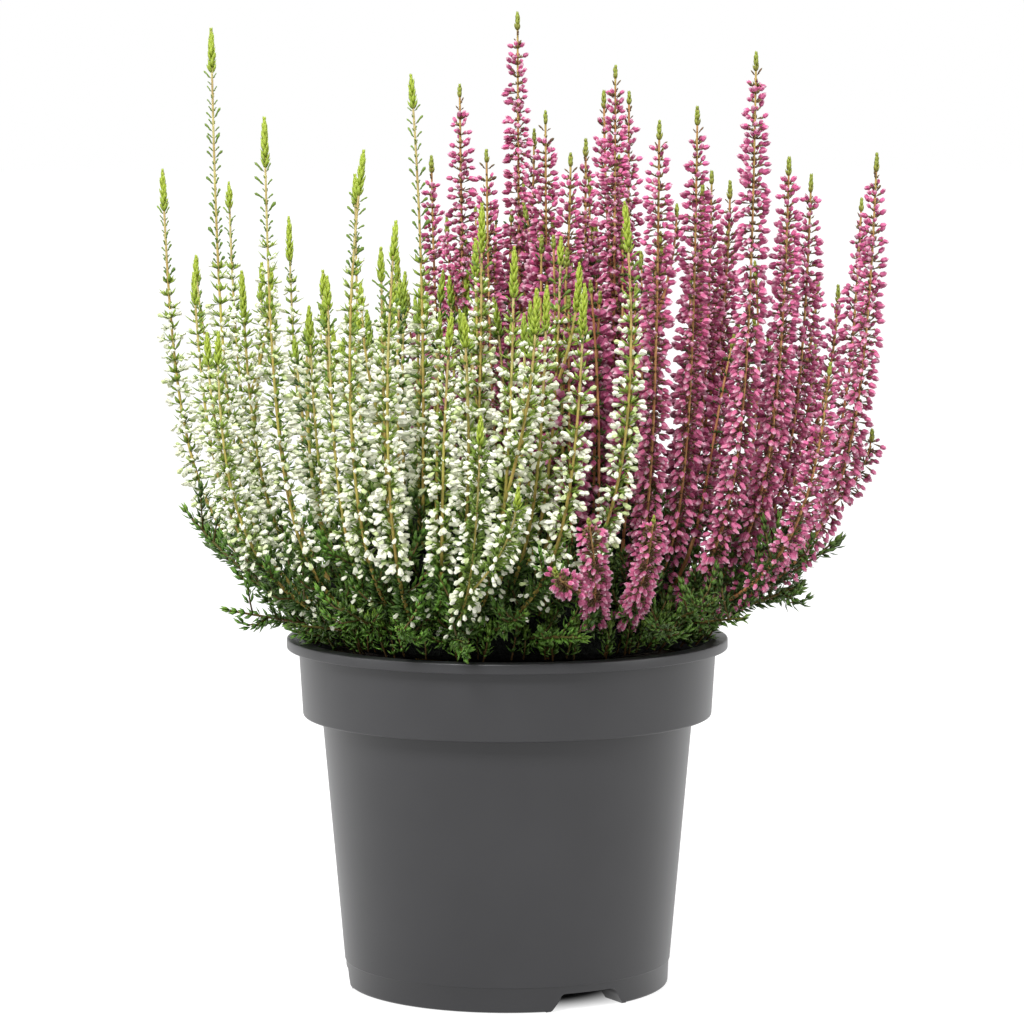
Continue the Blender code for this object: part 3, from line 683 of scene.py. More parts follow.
def needles(rng, path, start, end, age, facing):
    """Needle leaves in rows of four from a distance back from a shoot's end to another. They lean
    out from 17 degrees at the tip to 55 and curve inwards. All on one shoot are of much the same
    tint, and they age from the tip down."""
    back = np.arange(start, end, NEEDLE_ROW)
    if len(back) == 0:
        return []
    lean = np.interp(back, (start, start + 8.0), NEEDLE_LEANS)
    places, out, direction = rows_of_four(rng, path, back, facing, 0.2, lean, 0.14)
    length = NEEDLE * rng.uniform(0.75, 1.15, 4 * len(back))
    tint = np.clip(rng.uniform(0.0, 1.0) + rng.normal(0.0, 0.18, length.size), 0.0, 1.0)
    ages = np.repeat(age + (1.0 - age) * np.clip(back / NEEDLES_OLD_AFTER, 0.0, 1.0), 4)
    return [placed(
        LEAF, places + out * 0.2, direction, out, length, NEEDLE_HALF_WIDTH, 0.24, tint, ages,
        -0.14 * NEEDLE,
    )]


def side_shoot(root, way, length):
    """The path of a short side shoot: out along its way and curving up by u squared."""
    u = np.linspace(0.0, 1.0, SIDE_SHOOT_POINTS)[:, None]
    curve = np.array([0.0, 0.0, 0.35 * length])
    return root + unit(way) * length * u * (1.0 - 0.25 * u) + curve * u ** 2


def facing_of(tip):
    """The way that a stem's open side looks: outwards in plan, and a share to the front."""
    outward = np.array([tip[0], tip[1], 0.0]) / max(math.hypot(tip[0], tip[1]), 1.0)
    return unit(outward + np.array([0.0, -FRONT_SHARE, 0.0]))


def gather(groups, parts):
    """Adds each list of parts to its group."""
    for group, more in zip(groups, parts):
        group += more


def make_piece(name, parts, finishes, slot, *nodes):
    """One piece from groups of parts, a group to a finish. Whole arrays of points, triangles and
    looks go into the mesh at once, and the looks into its attribute of that name. Buds keep flat
    sides, one to a sepal, and all else is shaded round."""
    parts = [(number, *part) for number, group in enumerate(parts) for part in group]
    numbers, points, triangles, looks = zip(*parts)
    starts = np.cumsum([0, *map(len, points[:-1])])
    numbers = np.repeat(numbers, [*map(len, triangles)])
    triangles = np.concatenate([part + start for part, start in zip(triangles, starts)])
    points = np.concatenate(points)
    mesh = bpy.data.meshes.new(name)
    mesh.vertices.add(len(points))
    mesh.vertices.foreach_set("co", (points * MM).astype(np.float32).ravel())
    mesh.loops.add(triangles.size)
    mesh.loops.foreach_set("vertex_index", triangles.astype(np.int32).ravel())
    mesh.polygons.add(len(triangles))
    mesh.polygons.foreach_set("loop_start", np.arange(0, triangles.size, 3, dtype=np.int32))
    mesh.polygons.foreach_set("material_index", numbers.astype(np.int32))
    look = mesh.attributes.new("look", "FLOAT_VECTOR", "POINT")
    look.data.foreach_set("vector", np.concatenate(looks).astype(np.float32).ravel())
    mesh.update(calc_edges=True)
    mesh.shade_smooth()
    rounded = np.array(["sepal" not in finish.name for finish in finishes])
    mesh.polygons.foreach_set("use_smooth", rounded[numbers])
    for finish in finishes:
        mesh.materials.append(finish)
    return seat(name, mesh, slot, *nodes)


def seat(name, mesh, slot, *nodes):
    """Puts a mesh into the scene as a piece of the part."""
    piece = put(name, mesh)
    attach(piece, "root")
    if nodes:
        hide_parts(*nodes)
    return piece


def linear(code):
    """An sRGB colour such as "#4d4d4f" as linear red, green, blue and an alpha of one."""
    channel = np.array([int(code[i:i + 2], 16) for i in (1, 3, 5)]) / 255.0
    curve = ((channel + 0.055) / 1.055) ** 2.4
    return (*np.where(channel <= 0.04045, channel / 12.92, curve).tolist(), 1.0)


def connect(node, inputs):
    """Gives a node's inputs their values. An output socket is linked to its input, and a colour
    is given by its code."""
    for key, value in inputs.items():
        if isinstance(value, bpy.types.NodeSocket):
            node.id_data.links.new(value, node.inputs[key])
        else:
            node.inputs[key].default_value = linear(value) if isinstance(value, str) else value


def add(material, kind, inputs=None, **settings):
    """Adds a node to a material, with its settings and what its inputs are connected to."""
    node = material.node_tree.nodes.new(kind)
    for key, value in settings.items():
        setattr(node, key, value)
    connect(node, inputs or {})
    return node


# Sockets by their place in a node's list: those of Map Range, which turns a value between LOW and
# HIGH into one between AT_LOW and AT_HIGH, and those of Mix for colours.
VALUE, LOW, HIGH, AT_LOW, AT_HIGH = 0, 1, 2, 3, 4
SHARE, FIRST, SECOND, MIXED = 0, 6, 7, 2


def new_finish(name, roughness, ior):
    """A Principled material with plain values, and its shader."""
    material = bpy.data.materials.new(name)
    material.use_nodes = True
    shader = material.node_tree.nodes["Principled BSDF"]
    connect(shader, {"Roughness": roughness, "IOR": ior})
    return material, shader


def look_of(material):
    """The look of a point: X is how far along its bud or leaf it lies, Y is its tint and Z its
    age, each from 0 to 1."""
    look = add(material, "ShaderNodeAttribute", attribute_name="look").outputs["Vector"]
    return add(material, "ShaderNodeSeparateXYZ", {0: look}).outputs


def mottling(material, size, detail=2.0):
    """Noise on a piece's own coordinates, with lumps of a real size in millimetres."""
    place = add(material, "ShaderNodeTexCoord").outputs["Object"]
    pattern = {"Vector": place, "Scale": 1.0 / (size * MM), "Detail": detail}
    return add(material, "ShaderNodeTexNoise", pattern).outputs[0]


def tinged(material, colour, *tinges):
    """A colour with others laid over it in turn, each as (value, from, to, most, colour): it sets
    in where the value passes the first limit and shows by its most at the second."""
    for value, low, high, most, tinge in tinges:
        limits = {VALUE: value, LOW: low, HIGH: high, AT_HIGH: most}
        share = add(material, "ShaderNodeMapRange", limits).outputs[0]
        layers = {SHARE: share, FIRST: colour, SECOND: tinge}
        colour = add(material, "ShaderNodeMix", layers, data_type="RGBA").outputs[MIXED]
    return colour


def white_sepals():
    """White bud sepals: living tissue with a soft satin skin. The eye sees cream white that is
    greenish at the bud's root, and slightly different on each bud."""
    material, shader = new_finish("white_sepal_tissue", 0.5, 1.42)
    look = look_of(material)
    # The folds between the sepals are about 0.6 mm apart.
    folds = mottling(material, 0.6)
    colour = tinged(
        material, "#faf9ea",
        (look["Y"], 0.0, 1.0, 1.0, "#eaeed2"),
        (look["Y"], 0.84, 0.9, 0.75, "#bdd07c"),
        (look["X"], 0.3, 0.0, 0.8, "#9db650"),
        (folds, 0.4, 0.7, 0.25, "#d3dcb6"),
    )
    connect(shader, {"Base Color": colour, "Sheen Weight": 0.1})
    return material


def pink_sepals():
    """Pink bud sepals: living tissue with a soft satin skin. The eye sees deep pink, a little
    duller on the older buds and different on each one, and darker with painted shade on the
    stems inside the bush. Each bud has a painted highlight at its point and painted shade at its
    root."""
    material, shader = new_finish("pink_sepal_tissue", 0.45, 1.42)
    look = look_of(material)
    # Each bud's tint gives it its own pink, and on the stems inside the bush a darker one that is painted
    # shade.
    fresh = tinged(material, "#da6298", (look["Y"], 0.0, 1.0, 1.0, "#942e5e"))
    ripe = tinged(material, "#dc6e9a", (look["Y"], 0.0, 1.0, 1.0, "#86264e"))
    # The sepals' light edges are about 0.7 mm apart.
    edges = mottling(material, 0.7)
    colour = tinged(
        material, fresh,
        (look["Z"], 0.1, 1.0, 1.0, ripe),
        (edges, 0.48, 0.72, 0.35, "#eaa6c0"),
        # Painted shade: the root of each bud goes to a dark wine red.
        (look["X"], 0.3, 0.0, 0.8, "#4a1022"),
        # Painted highlight: the point of each bud goes to a pale pink.
        (look["X"], 0.66, 1.0, 0.7, "#f6dbe5"),
    )
    connect(shader, {"Base Color": colour, "Sheen Weight": 0.1})
    return material


def heather_leaf(name, young, grown, old, painted_shade_share):
    """Evergreen scale and needle leaves: a waxy skin over green tissue. The eye sees small dull
    highlights, yellow-green at the tips of stems and dark green further down. The last value is
    how far the darkest leaves go towards a deep green that is painted shade; their tint lays it
    on at random from shoot to shoot, and more on the pink plant's stems inside the bush."""
    material, shader = new_finish(name, 0.45, 1.4)
    look = look_of(material)
    colour = tinged(
        material, young,
        (look["Z"], 0.12, 0.4, 1.0, grown),
        (look["Z"], 0.45, 0.95, 1.0, old),
        # Painted shade: by its tint a leaf goes towards a deep green.
        (look["Y"], 0.0, 1.0, painted_shade_share, "#1f3010"),
        (look["X"], 0.55, 1.0, 0.25, "#8ca048"),
    )
    connect(shader, {"Base Color": colour})
    return material


def stem_bark(name, young, middle, old, sunny):
    """The thin bark of this year's stems, still green or red at the tip and orange-brown below.
    The eye sees a dull satin with fine flecks, and patches that the sun has coloured."""
    material, shader = new_finish(name, 0.55, 1.4)
    look = look_of(material)
    # Sunned patches are about 7 mm long, the flecks are old leaf scars about 1.4 mm apart, and the
    # ridges between them are 0.5 mm apart.
    patches, flecks, ridges = (mottling(material, size) for size in (7.0, 1.4, 0.5))
    colour = tinged(
        material, young,
        (look["Z"], 0.0, 0.4, 1.0, middle),
        (look["Z"], 0.5, 1.0, 1.0, old),
        (look["Y"], 0.5, 1.0, 0.35, sunny),
        (patches, 0.45, 0.6, 0.5, sunny),
        (flecks, 0.42, 0.68, 0.25, "#5d4220"),
    )
    relief = {"Height": ridges, "Distance": 0.2 * MM, "Strength": 0.4}
    relief = add(material, "ShaderNodeBump", relief).outputs["Normal"]
    connect(shader, {"Base Color": colour, "Normal": relief})
    return material


def moulded_polypropylene():
    """Dark grey polypropylene, injection moulded in a finely blasted tool. The eye sees a satin
    skin with broad soft reflections that brighten towards the edges."""
    material, shader = new_finish("moulded_polypropylene", 0.38, 1.49)
    # Flow of the melt leaves a faint cloudiness about 30 mm across.
    cloud = mottling(material, 30.0)
    colour = tinged(material, "#2b2b2d", (cloud, 0.3, 0.7, 1.0, "#303032"))
    # The blasted grain is about 0.15 mm on the real pot and is drawn at 0.4 mm to show at all.
    grain = mottling(material, 0.4)
    relief = {"Height": grain, "Distance": 0.05 * MM, "Strength": 0.12}
    relief = add(material, "ShaderNodeBump", relief).outputs["Normal"]
    connect(shader, {"Base Color": colour, "Normal": relief})
    return material


def packed_matter(name, roughness, size, depth, strength, dark, light):
    """A matte tangle or crumb of small lumps of a size and a depth in millimetres, dark between
    them and lighter on top. Returns the material, its shader and its colour."""
    material, shader = new_finish(name, roughness, 1.4)
    lumps = {VALUE: mottling(material, size, detail=5.0), LOW: 0.35, HIGH: 0.7}
    lumps = add(material, "ShaderNodeMapRange", lumps).outputs[0]
    colour = tinged(material, dark, (lumps, 0.0, 1.0, 1.0, light))
    relief = {"Height": lumps, "Distance": depth * MM, "Strength": strength}
    relief = add(material, "ShaderNodeBump", relief).outputs["Normal"]
    connect(shader, {"Base Color": colour, "Normal": relief})
    return material, shader, colour


def moist_peat():
    """Moist peat with a few lighter wood fibres: crumbly and matte, near black where wet. Its
    crumbs are 2 to 3 mm across, and the fibres among them about 1 mm wide."""
    material, shader, colour = packed_matter("moist_peat", 0.95, 2.5, 0.8, 0.8, "#1a120c", "#43301f")
    fibres = mottling(material, 1.2)
    connect(shader, {"Base Color": tinged(material, colour, (fibres, 0.66, 0.74, 1.0, "#86683f"))})
    return material


def painted_shade_inner_growth():
    """The bush's dark inside, where old leaves and twigs are packed about 1.8 mm apart. Its
    near-black greens are painted shade: the eye sees only a dark mottled tone behind the fresh
    shoots and the flowers."""
    return packed_matter("painted_shade_inner_growth", 0.9, 1.8, 1.2, 1.0, "#020302", "#0d140a")[0]


def arc(centre, radius, start, end, steps):
    """Points on an arc in the section's plane, in degrees from straight out."""
    turn = np.radians(np.linspace(start, end, steps))
    return [(centre[0] + radius * math.cos(t), centre[1] + radius * math.sin(t)) for t in turn]


def pot_outline():
    """The wall's section as (radius, height), from the middle of the underside, up the outside,
    over the lip and down the inside, with an arc or a short slope at each moulded edge."""
    foot, lip_bottom = FOOT_RADIUS - WALL, POT_HEIGHT - LIP_HEIGHT
    inner_top, inner_band = BAND_TOP_RADIUS - WALL, BAND_BOTTOM_RADIUS - WALL
    inner_body, inner_bottom = BODY_TOP_RADIUS - WALL, BODY_BOTTOM_RADIUS - WALL
    ledge = BAND_BOTTOM + WALL
    return [
        (0.0, FLOOR_LOW),
        (foot - 0.4, FLOOR_LOW),
        (foot - 0.8, 0.2),
        (foot - 0.6, 0.0),
        *arc((FOOT_RADIUS - FOOT_ROUND, FOOT_ROUND), FOOT_ROUND, -90.0, 0.0, 5),
        (FOOT_RADIUS + FOOT_FLARE, FOOT_TOP),
        (BODY_BOTTOM_RADIUS - 0.15, FOOT_TOP + FOOT_STEP - 0.15),
        (BODY_BOTTOM_RADIUS, FOOT_TOP + FOOT_STEP),
        (BODY_TOP_RADIUS - 0.1, BAND_BOTTOM - 0.8),
        *arc((BODY_TOP_RADIUS + BAND_FILLET, BAND_BOTTOM - BAND_FILLET), BAND_FILLET, 180.0, 90.0, 4),
        *arc((BAND_BOTTOM_RADIUS - BAND_ROUND, BAND_BOTTOM + BAND_ROUND), BAND_ROUND, -90.0, 0.0, 6),
        (BAND_TOP_RADIUS - 0.05, lip_bottom - 0.5),
        (BAND_TOP_RADIUS + 0.4, lip_bottom),
        *arc((LIP_RADIUS - LIP_LOW_ROUND, lip_bottom + LIP_LOW_ROUND), LIP_LOW_ROUND, -90.0, 0.0, 4),
        *arc((LIP_RADIUS - LIP_ROUND, POT_HEIGHT - LIP_ROUND), LIP_ROUND, 0.0, 90.0, 5),
        *arc((inner_top + LIP_ROUND, POT_HEIGHT - LIP_ROUND), LIP_ROUND, 90.0, 180.0, 4),
        (inner_band, ledge + INNER_EDGE),
        (inner_band - INNER_EDGE, ledge),
        (inner_body + LEDGE_EDGE, ledge),
        (inner_body, ledge - LEDGE_EDGE),
        (inner_bottom, FLOOR_HIGH + INNER_EDGE),
        (inner_bottom - INNER_EDGE, FLOOR_HIGH),
        (0.0, FLOOR_HIGH),
    ]


def plain_mesh(name, points, faces):
    """A mesh from points in millimetres and a list of faces."""
    mesh = bpy.data.meshes.new(name)
    mesh.from_pydata((np.asarray(points) * MM).tolist(), [], [list(map(int, f)) for f in faces])
    mesh.validate()
    return mesh


def radial_bar(name, section, angle, near, far):
    """A bar with a section of (across, height), set radially from one radius to another."""
    out = np.array([math.sin(angle), -math.cos(angle), 0.0])
    along = np.array([math.cos(angle), math.sin(angle), 0.0])
    up = np.array([0.0, 0.0, 1.0])
    points = [out * radius + along * u + up * v for radius in (near, far) for u, v in section]
    count = len(section)
    faces = [tuple(range(count - 1, -1, -1)), tuple(range(count, 2 * count))]
    faces += [(i, (i + 1) % count, (i + 1) % count + count, i + count) for i in range(count)]
    return plain_mesh(name, points, faces)


def notch_mesh(angle):
    """A cutter for one drain notch: its sides slope out by NOTCH_FLARE from the top, whose
    corners are rounded, to the ground, and it starts by NOTCH_SPARE below that."""
    half, corner = NOTCH_WIDTH / 2, NOTCH_HEIGHT - NOTCH_ROUND
    foot = half + NOTCH_FLARE * (1.0 + NOTCH_SPARE / NOTCH_HEIGHT)
    section = [
        (-foot, -NOTCH_SPARE),
        (foot, -NOTCH_SPARE),
        *arc((half - NOTCH_ROUND, corner), NOTCH_ROUND, 0.0, 90.0, 7),
        *arc((NOTCH_ROUND - half, corner), NOTCH_ROUND, 90.0, 180.0, 7),
    ]
    return radial_bar("notch_cutter", section, angle, FOOT_RADIUS - NOTCH_REACH, FOOT_RADIUS + NOTCH_REACH)


def cheek_mesh(angle):
    """The block that a notch's two cheeks are left of: the ring's wall turned in beside it. It
    runs into the floor above and stops behind the ring's outside."""
    low, top = NOTCH_WIDTH / 2 + NOTCH_FLARE + WALL, NOTCH_WIDTH / 2 + WALL
    height = FLOOR_LOW + CHEEK_IN_FLOOR
    section = [(-low, 0.0), (low, 0.0), (top, height), (-top, height)]
    near, far = FOOT_RADIUS - CHEEK_DEPTH, FOOT_RADIUS - CHEEK_STOP
    return radial_bar("notch_cheeks", section, angle, near, far)


def put(name, data):
    """A new object in the scene, from its data."""
    thing = bpy.data.objects.new(name, data)
    bpy.context.scene.collection.objects.link(thing)
    return thing


def make_pot(finish):
    """The pot: its turned wall, joined with the cheeks by one Boolean and cut with the notches
    and the drain holes by another."""
    pot = put("pot_uncut", plain_mesh("pot_uncut", *turned_shape(pot_outline(), POT_SIDES)))
    angles = [math.radians(angle) for angle in NOTCH_ANGLES]
    cheeks = [cheek_mesh(angle) for angle in angles]
    cutters = [notch_mesh(angle) for angle in angles]
    low, high = FLOOR_LOW - DRAIN_SPARE, FLOOR_HIGH + DRAIN_SPARE
    section = ((0.0, low), (DRAIN_HOLE_RADIUS, low), (DRAIN_HOLE_RADIUS, high), (0.0, high))
    for i in range(DRAIN_HOLES):
        turn = 2 * math.pi * (i + 0.5) / DRAIN_HOLES
        centre = (DRAIN_RING_RADIUS * math.sin(turn), -DRAIN_RING_RADIUS * math.cos(turn))
        cutters.append(plain_mesh("drain_cutter", *turned_shape(section, DRAIN_SIDES, centre)))
    for operation, meshes in (("UNION", cheeks), ("DIFFERENCE", cutters)):
        group = bpy.data.collections.new(operation.lower())
        bpy.context.scene.collection.children.link(group)
        for mesh in meshes:
            group.objects.link(bpy.data.objects.new(mesh.name, mesh))
        step = pot.modifiers.new(operation.lower(), "BOOLEAN")
        step.operation = operation
        step.operand_type = "COLLECTION"
        step.collection = group
        step.solver = "EXACT"
    shape = pot.evaluated_get(bpy.context.evaluated_depsgraph_get())
    mesh = bpy.data.meshes.new_from_object(shape)
    for group in [step.collection for step in pot.modifiers]:
        for cutter in list(group.objects):
            bpy.data.objects.remove(cutter, do_unlink=True)
        bpy.data.collections.remove(group)
    bpy.data.objects.remove(pot, do_unlink=True)
    mesh.name = "moulded_pot"
    mesh.shade_smooth()
    mesh.set_sharp_from_angle(angle=SHARP_FROM)
    mesh.materials.clear()
    mesh.materials.append(finish)
    return seat("moulded_pot", mesh, "pot_plastic", "pot")


def crumbled(rng, x, y):
    """The height of peat crumbs: waves of five widths in seeded directions, each rounded up."""
    height = np.zeros(x.shape)
    for width, share in SOIL_WAVES:
        turn = rng.uniform(0.0, 2.0 * math.pi, 3)
        phase = rng.uniform(0.0, 2.0 * math.pi, 3)
        for t, p in zip(turn, phase):
            height += share / 3 * np.abs(np.sin((x * math.cos(t) + y * math.sin(t)) * math.pi / width + p))
    return SOIL_CRUMB * (height - 0.9)


def make_soil(finish):
    """The peat, filling the pot to below its lip: a turned block whose top is a grid of crumbs."""
    inner_band = BAND_BOTTOM_RADIUS - WALL - GAP
    ledge = BAND_BOTTOM + WALL + GAP
    lean = (BAND_TOP_RADIUS - BAND_BOTTOM_RADIUS) / (POT_HEIGHT - BAND_BOTTOM)
    edge = inner_band + lean * (SOIL_TOP - ledge)
    outline = [
        (0.0, FLOOR_HIGH + GAP),
        (BODY_BOTTOM_RADIUS - WALL - GAP - 1.0, FLOOR_HIGH + GAP),
        (BODY_TOP_RADIUS - WALL - GAP, ledge),
        (inner_band - 1.2, ledge),
        *((radius, SOIL_TOP) for radius in np.linspace(edge, 0.0, SOIL_RINGS)),
    ]
    points, triangles = turned_shape(outline, SOIL_SIDES)
    top = np.abs(points[:, 2] - SOIL_TOP) < 0.01
    points[top, 2] += crumbled(np.random.default_rng(SEED), points[top, 0], points[top, 1])
    shape = (points, triangles, np.zeros_like(points))
    return make_piece("peat", [[shape]], [finish], "potting_soil", "soil")


def make_stem_base(plant, finish):
    """The woody base of a plant: a short rough stump that widens where the stems leave it."""
    rng = np.random.default_rng([SEED, 5, len(plant)])
    points, triangles = turned_shape(STUMP_OUTLINE, STUMP_SIDES, HUBS[plant])
    points[:, :2] += rng.normal(0.0, STUMP_ROUGHNESS, (len(points), 2))
    shape = (points, triangles, np.tile([0.0, 0.5, 1.0], (len(points), 1)))
    name = plant + "_plant_"
    return make_piece(name + "stump", [[shape]], [finish], "stem_wood", name + "stem_base")


def make_inner_growth(finish):
    """The dense growth inside the bush, dark with painted shade: a low turned dome, made lumpy by
    crossed waves.
    """
    radii, heights = np.array(INNER_OUTLINE).T
    steps = np.linspace(0.0, len(radii) - 1.0, INNER_RINGS)
    radii = np.interp(steps, np.arange(len(radii)), radii)
    heights = np.interp(steps, np.arange(len(heights)), heights)
    points, triangles = turned_shape(list(zip(radii, heights)), INNER_SIDES)
    x, y, z = points.T
    lump = np.sin(x * 0.9 + z) * np.sin(y * 0.8 - 0.6 * z) + 0.6 * np.sin(x * 1.9) * np.sin(y * 2.1 + z)
    above = np.clip((z - 103.0) / 6.0, 0.0, 1.0)
    centre = np.array([0.0, 0.0, 100.0])
    points = points + unit(points - centre) * (INNER_LUMP * 0.5 * lump * above)[:, None]
    shape = (points, triangles, np.zeros_like(points))
    return make_piece("inner_growth", [[shape]], [finish], "needle_green")


def make_spikes(plant, finishes):
    """Every spike of a plant, as a piece of flowers and a piece of stems and leaves."""
    petals, leaf, bark = finishes
    for number, (tip, bow, forks) in enumerate(SPIKES[plant], start=1):
        rng = np.random.default_rng([SEED, len(plant), number])
        heights = np.linspace(first_flower(tip), tip[2], SPIKE_POINTS)
        path = stem_path(HUBS[plant], tip, bow, heights)
        stems = [(path, 0.0, tip)]
        for *end, fork in forks:
            start = stem_path(HUBS[plant], tip, bow, np.array([float(fork)]))[0]
            stems.append((fork_path(start, end), FORK_BARE, end))
        flowers, greens, barks = [], [], []
        for stem, bare, end in stems:
            parts = flowering_stem(rng, stem, bare, plant, facing_of(end), end[2])
            gather((flowers, greens, barks), parts)
        name = f"{plant}_spike_{number:02d}"
        make_piece(name + "_flowers", [flowers], [petals], plant + "_flowers", name)
        make_piece(name + "_stems", [greens, barks], [leaf, bark], "needle_green", name)


def plant_at(x, y):
    """Which plant a place in plan belongs to: white to the left of the dividing line."""
    front, back = DIVIDE_FRONT, DIVIDE_BACK
    side = (back[0] - front[0]) * (y - front[1]) - (back[1] - front[1]) * (x - front[0])
    return "white" if side > 0 else "pink"


def tuft_paths(rng, plant):
    """The paths of the short upright shoots that cover the old growth of a plant, at seeded
    places on its dome, leaning outwards and up, and then of those just inside the pot's rim."""
    radii, heights = np.array(INNER_OUTLINE[INNER_WIDEST:][::-1]).T
    paths = []
    for share in rng.uniform(0.02, 1.0, TUFTS) ** 0.33:
        turn = rng.uniform(0.0, 2.0 * math.pi)
        radius = share * radii.max()
        x, y = radius * math.cos(turn), radius * math.sin(turn)
        if plant_at(x, y) != plant:
            continue
        height = np.interp(radius, radii, heights)
        if share > 0.9:
            height = rng.uniform(103.0, height)
        lean = 0.9 * share ** 3
        way = np.array([math.cos(turn) * lean, math.sin(turn) * lean, 1.0 - 0.5 * lean])
        way = way + rng.normal(0.0, 0.25, 3)
        paths.append(side_shoot(np.array([x, y, height - 1.0]), way, rng.uniform(*TUFT_LENGTHS)))
    for turn in rng.uniform(0.0, 2.0 * math.pi, RIM_TUFTS):
        radius = rng.uniform(*RIM_TUFT_RADII)
        x, y = math.cos(turn), math.sin(turn)
        root = np.array([radius * x, radius * y, rng.uniform(*RIM_TUFT_HEIGHTS)])
        lean = rng.uniform(0.2, 0.5) + 0.7 * abs(x) ** 3
        way = np.array([lean * x, lean * y, 1.0]) + rng.normal(0.0, 0.15, 3)
        if plant_at(root[0], root[1]) == plant:
            paths.append(side_shoot(root, way, rng.uniform(*TUFT_LENGTHS)))
    return paths


def inner_stems(rng, plant):
    """The paths of stems inside the bush, from the hub to seeded tips on the plant's side. Those
    that end further out end lower."""
    paths = []
    low, high = INNER_STEMS_ENDS[plant]
    while len(paths) < INNER_STEMS[plant]:
        turn = rng.uniform(0.0, 2.0 * math.pi)
        share = rng.uniform() ** 0.6
        radius = INNER_STEMS_SPREAD[plant] * share
        height = high - (high - low) * share * rng.uniform(0.4, 1.0)
        tip = (radius * math.cos(turn), radius * math.sin(turn), height)
        if plant_at(tip[0], tip[1]) == plant:
            heights = np.linspace(HUB_HEIGHT + 2.0, height, STEM_POINTS)
            paths.append(stem_path(HUBS[plant], tip, rng.normal(0.0, 3.0, 2), heights))
    return paths


def side_shoots(rng, path, start, end, facing):
    """Short leafy shoots from a branch, out to seeded sides and up. Returns leaves and bark."""
    leaves, barks = [], []
    for back in np.arange(start, end, SIDE_SHOOT_STEP):
        places, ahead = read_path(path, np.array([back]))
        out = around(ahead, facing, rng.uniform(0.0, 2.0 * math.pi, (1, 1)))[0, 0]
        way = out + 0.6 * ahead[0] + np.array([0.0, 0.0, 0.25])
        length = rng.uniform(*SIDE_SHOOT_LENGTHS)
        shoot = side_shoot(places[0], way, length)
        shoot[:, 2] = np.maximum(shoot[:, 2], LOWEST_LEAF)
        barks.append(carried(shoot, SIDE_SHOOT_RADII, 3, facing, 4.0, rng.uniform(), SIDE_SHOOT_BARK))
        leaves += needles(rng, shoot, 0.3, length - 1.5, SIDE_SHOOT_NEEDLES, facing)
    return leaves, barks


def make_foliage(plant, finishes):
    """The green part of a plant: the branches below the spikes, the long shoots over the lip,
    short side shoots along both, and tufts over the old growth, all with needle leaves. The
    spikes' low flowers and the flowering stems inside the bush belong to it too."""
    petals, leaf, bark, twig = finishes
    rng = np.random.default_rng([SEED, 7, len(plant)])
    hub = HUBS[plant]
    flowers, low, high, barks, twigs = [], [], [], [], []
    branches = []
    for tip, bow, _ in SPIKES[plant]:
        rise = (first_flower(tip) - HUB_HEIGHT) * np.linspace(0.0, 1.0, SPIKE_POINTS) ** 2
        path = stem_path(hub, tip, bow, HUB_HEIGHT + rise)
        branches.append((path, distances(path)[-1], facing_of(tip)))
    for path, length, facing in branches:
        barks.append(carried(path, BRANCH_RADII, 6, facing, 4.0, rng.uniform(), BRANCH_BARK))
        high += needles(rng, path, 0.5, 0.6 * length, BRANCH_NEEDLES, facing)
        gather((high, twigs), side_shoots(rng, path, 1.0, 0.8 * length, facing))
    for tip in SHOOTS[plant]:
        path, facing = shoot_path(hub, tip), facing_of(tip)
        length = distances(path)[-1]
        twigs.append(carried(path, SHOOT_RADII, 5, facing, 4.0, rng.uniform(), SHOOT_BARK))
        low += needles(rng, path, 0.4, 0.6 * length, SHOOT_NEEDLES, facing)
        gather((low, twigs), side_shoots(rng, path, 7.0, 0.6 * length, facing))
    for path in tuft_paths(rng, plant):
        facing = facing_of(path[-1])
        twigs.append(carried(path, TUFT_RADII, 3, facing, 5.0, rng.uniform(), TUFT_BARK))
        low += needles(rng, path, 0.3, distances(path)[-1] - 1.0, TUFT_NEEDLES, facing)
    lowest, share = HABITS[plant]["low_flowers"]
    for path, length, facing in branches:
        end = min(lowest, 0.5 * length)
        parts = flower_rows(rng, path, 1.0, end, plant, facing, share, RIPE_AFTER, LOW_FINENESS)
        gather((flowers, high), parts)
    for path in inner_stems(rng, plant):
        facing = facing_of(path[-1])
        fork = np.searchsorted(path[:, 2], INNER_FLOWERS_LOW[plant])
        parts = flowering_stem(rng, path[fork:], 0.0, plant, facing, path[-1, 2], INNER_COARSE)
        gather((flowers, high, barks), parts)
        foot = path[:fork + 1]
        barks.append(carried(foot, BRANCH_RADII, 5, facing, 5.0, rng.uniform(), BRANCH_BARK))
    name = plant + "_plant_"
    make_piece(name + "low_leaves", [low], [leaf], "needle_green", name + "foliage")
    make_piece(name + "high_leaves", [high], [leaf], "needle_green", name + "foliage")
    make_piece(name + "branches", [barks, twigs], [bark, twig], "stem_wood", name + "foliage")
    make_piece(name + "low_flowers", [flowers], [petals], plant + "_flowers", name + "foliage")


def add_light(name, place, size, shine):
    """A square soft light that looks at the middle of the plant. Its shine is how brightly it
    alone shows a white surface there that faces it, from 0 to 1."""
    aim = np.array(LIGHTS_AIM) - np.array(place)
    data = bpy.data.lights.new(name, "AREA")
    data.size = size
    data.energy = shine * math.pi ** 2 * float(aim @ aim)
    light = put(name, data)
    light.location = place
    pitch = math.atan2(math.hypot(aim[0], aim[1]), -aim[2])
    light.rotation_euler = (pitch, 0.0, math.atan2(-aim[0], aim[1]))


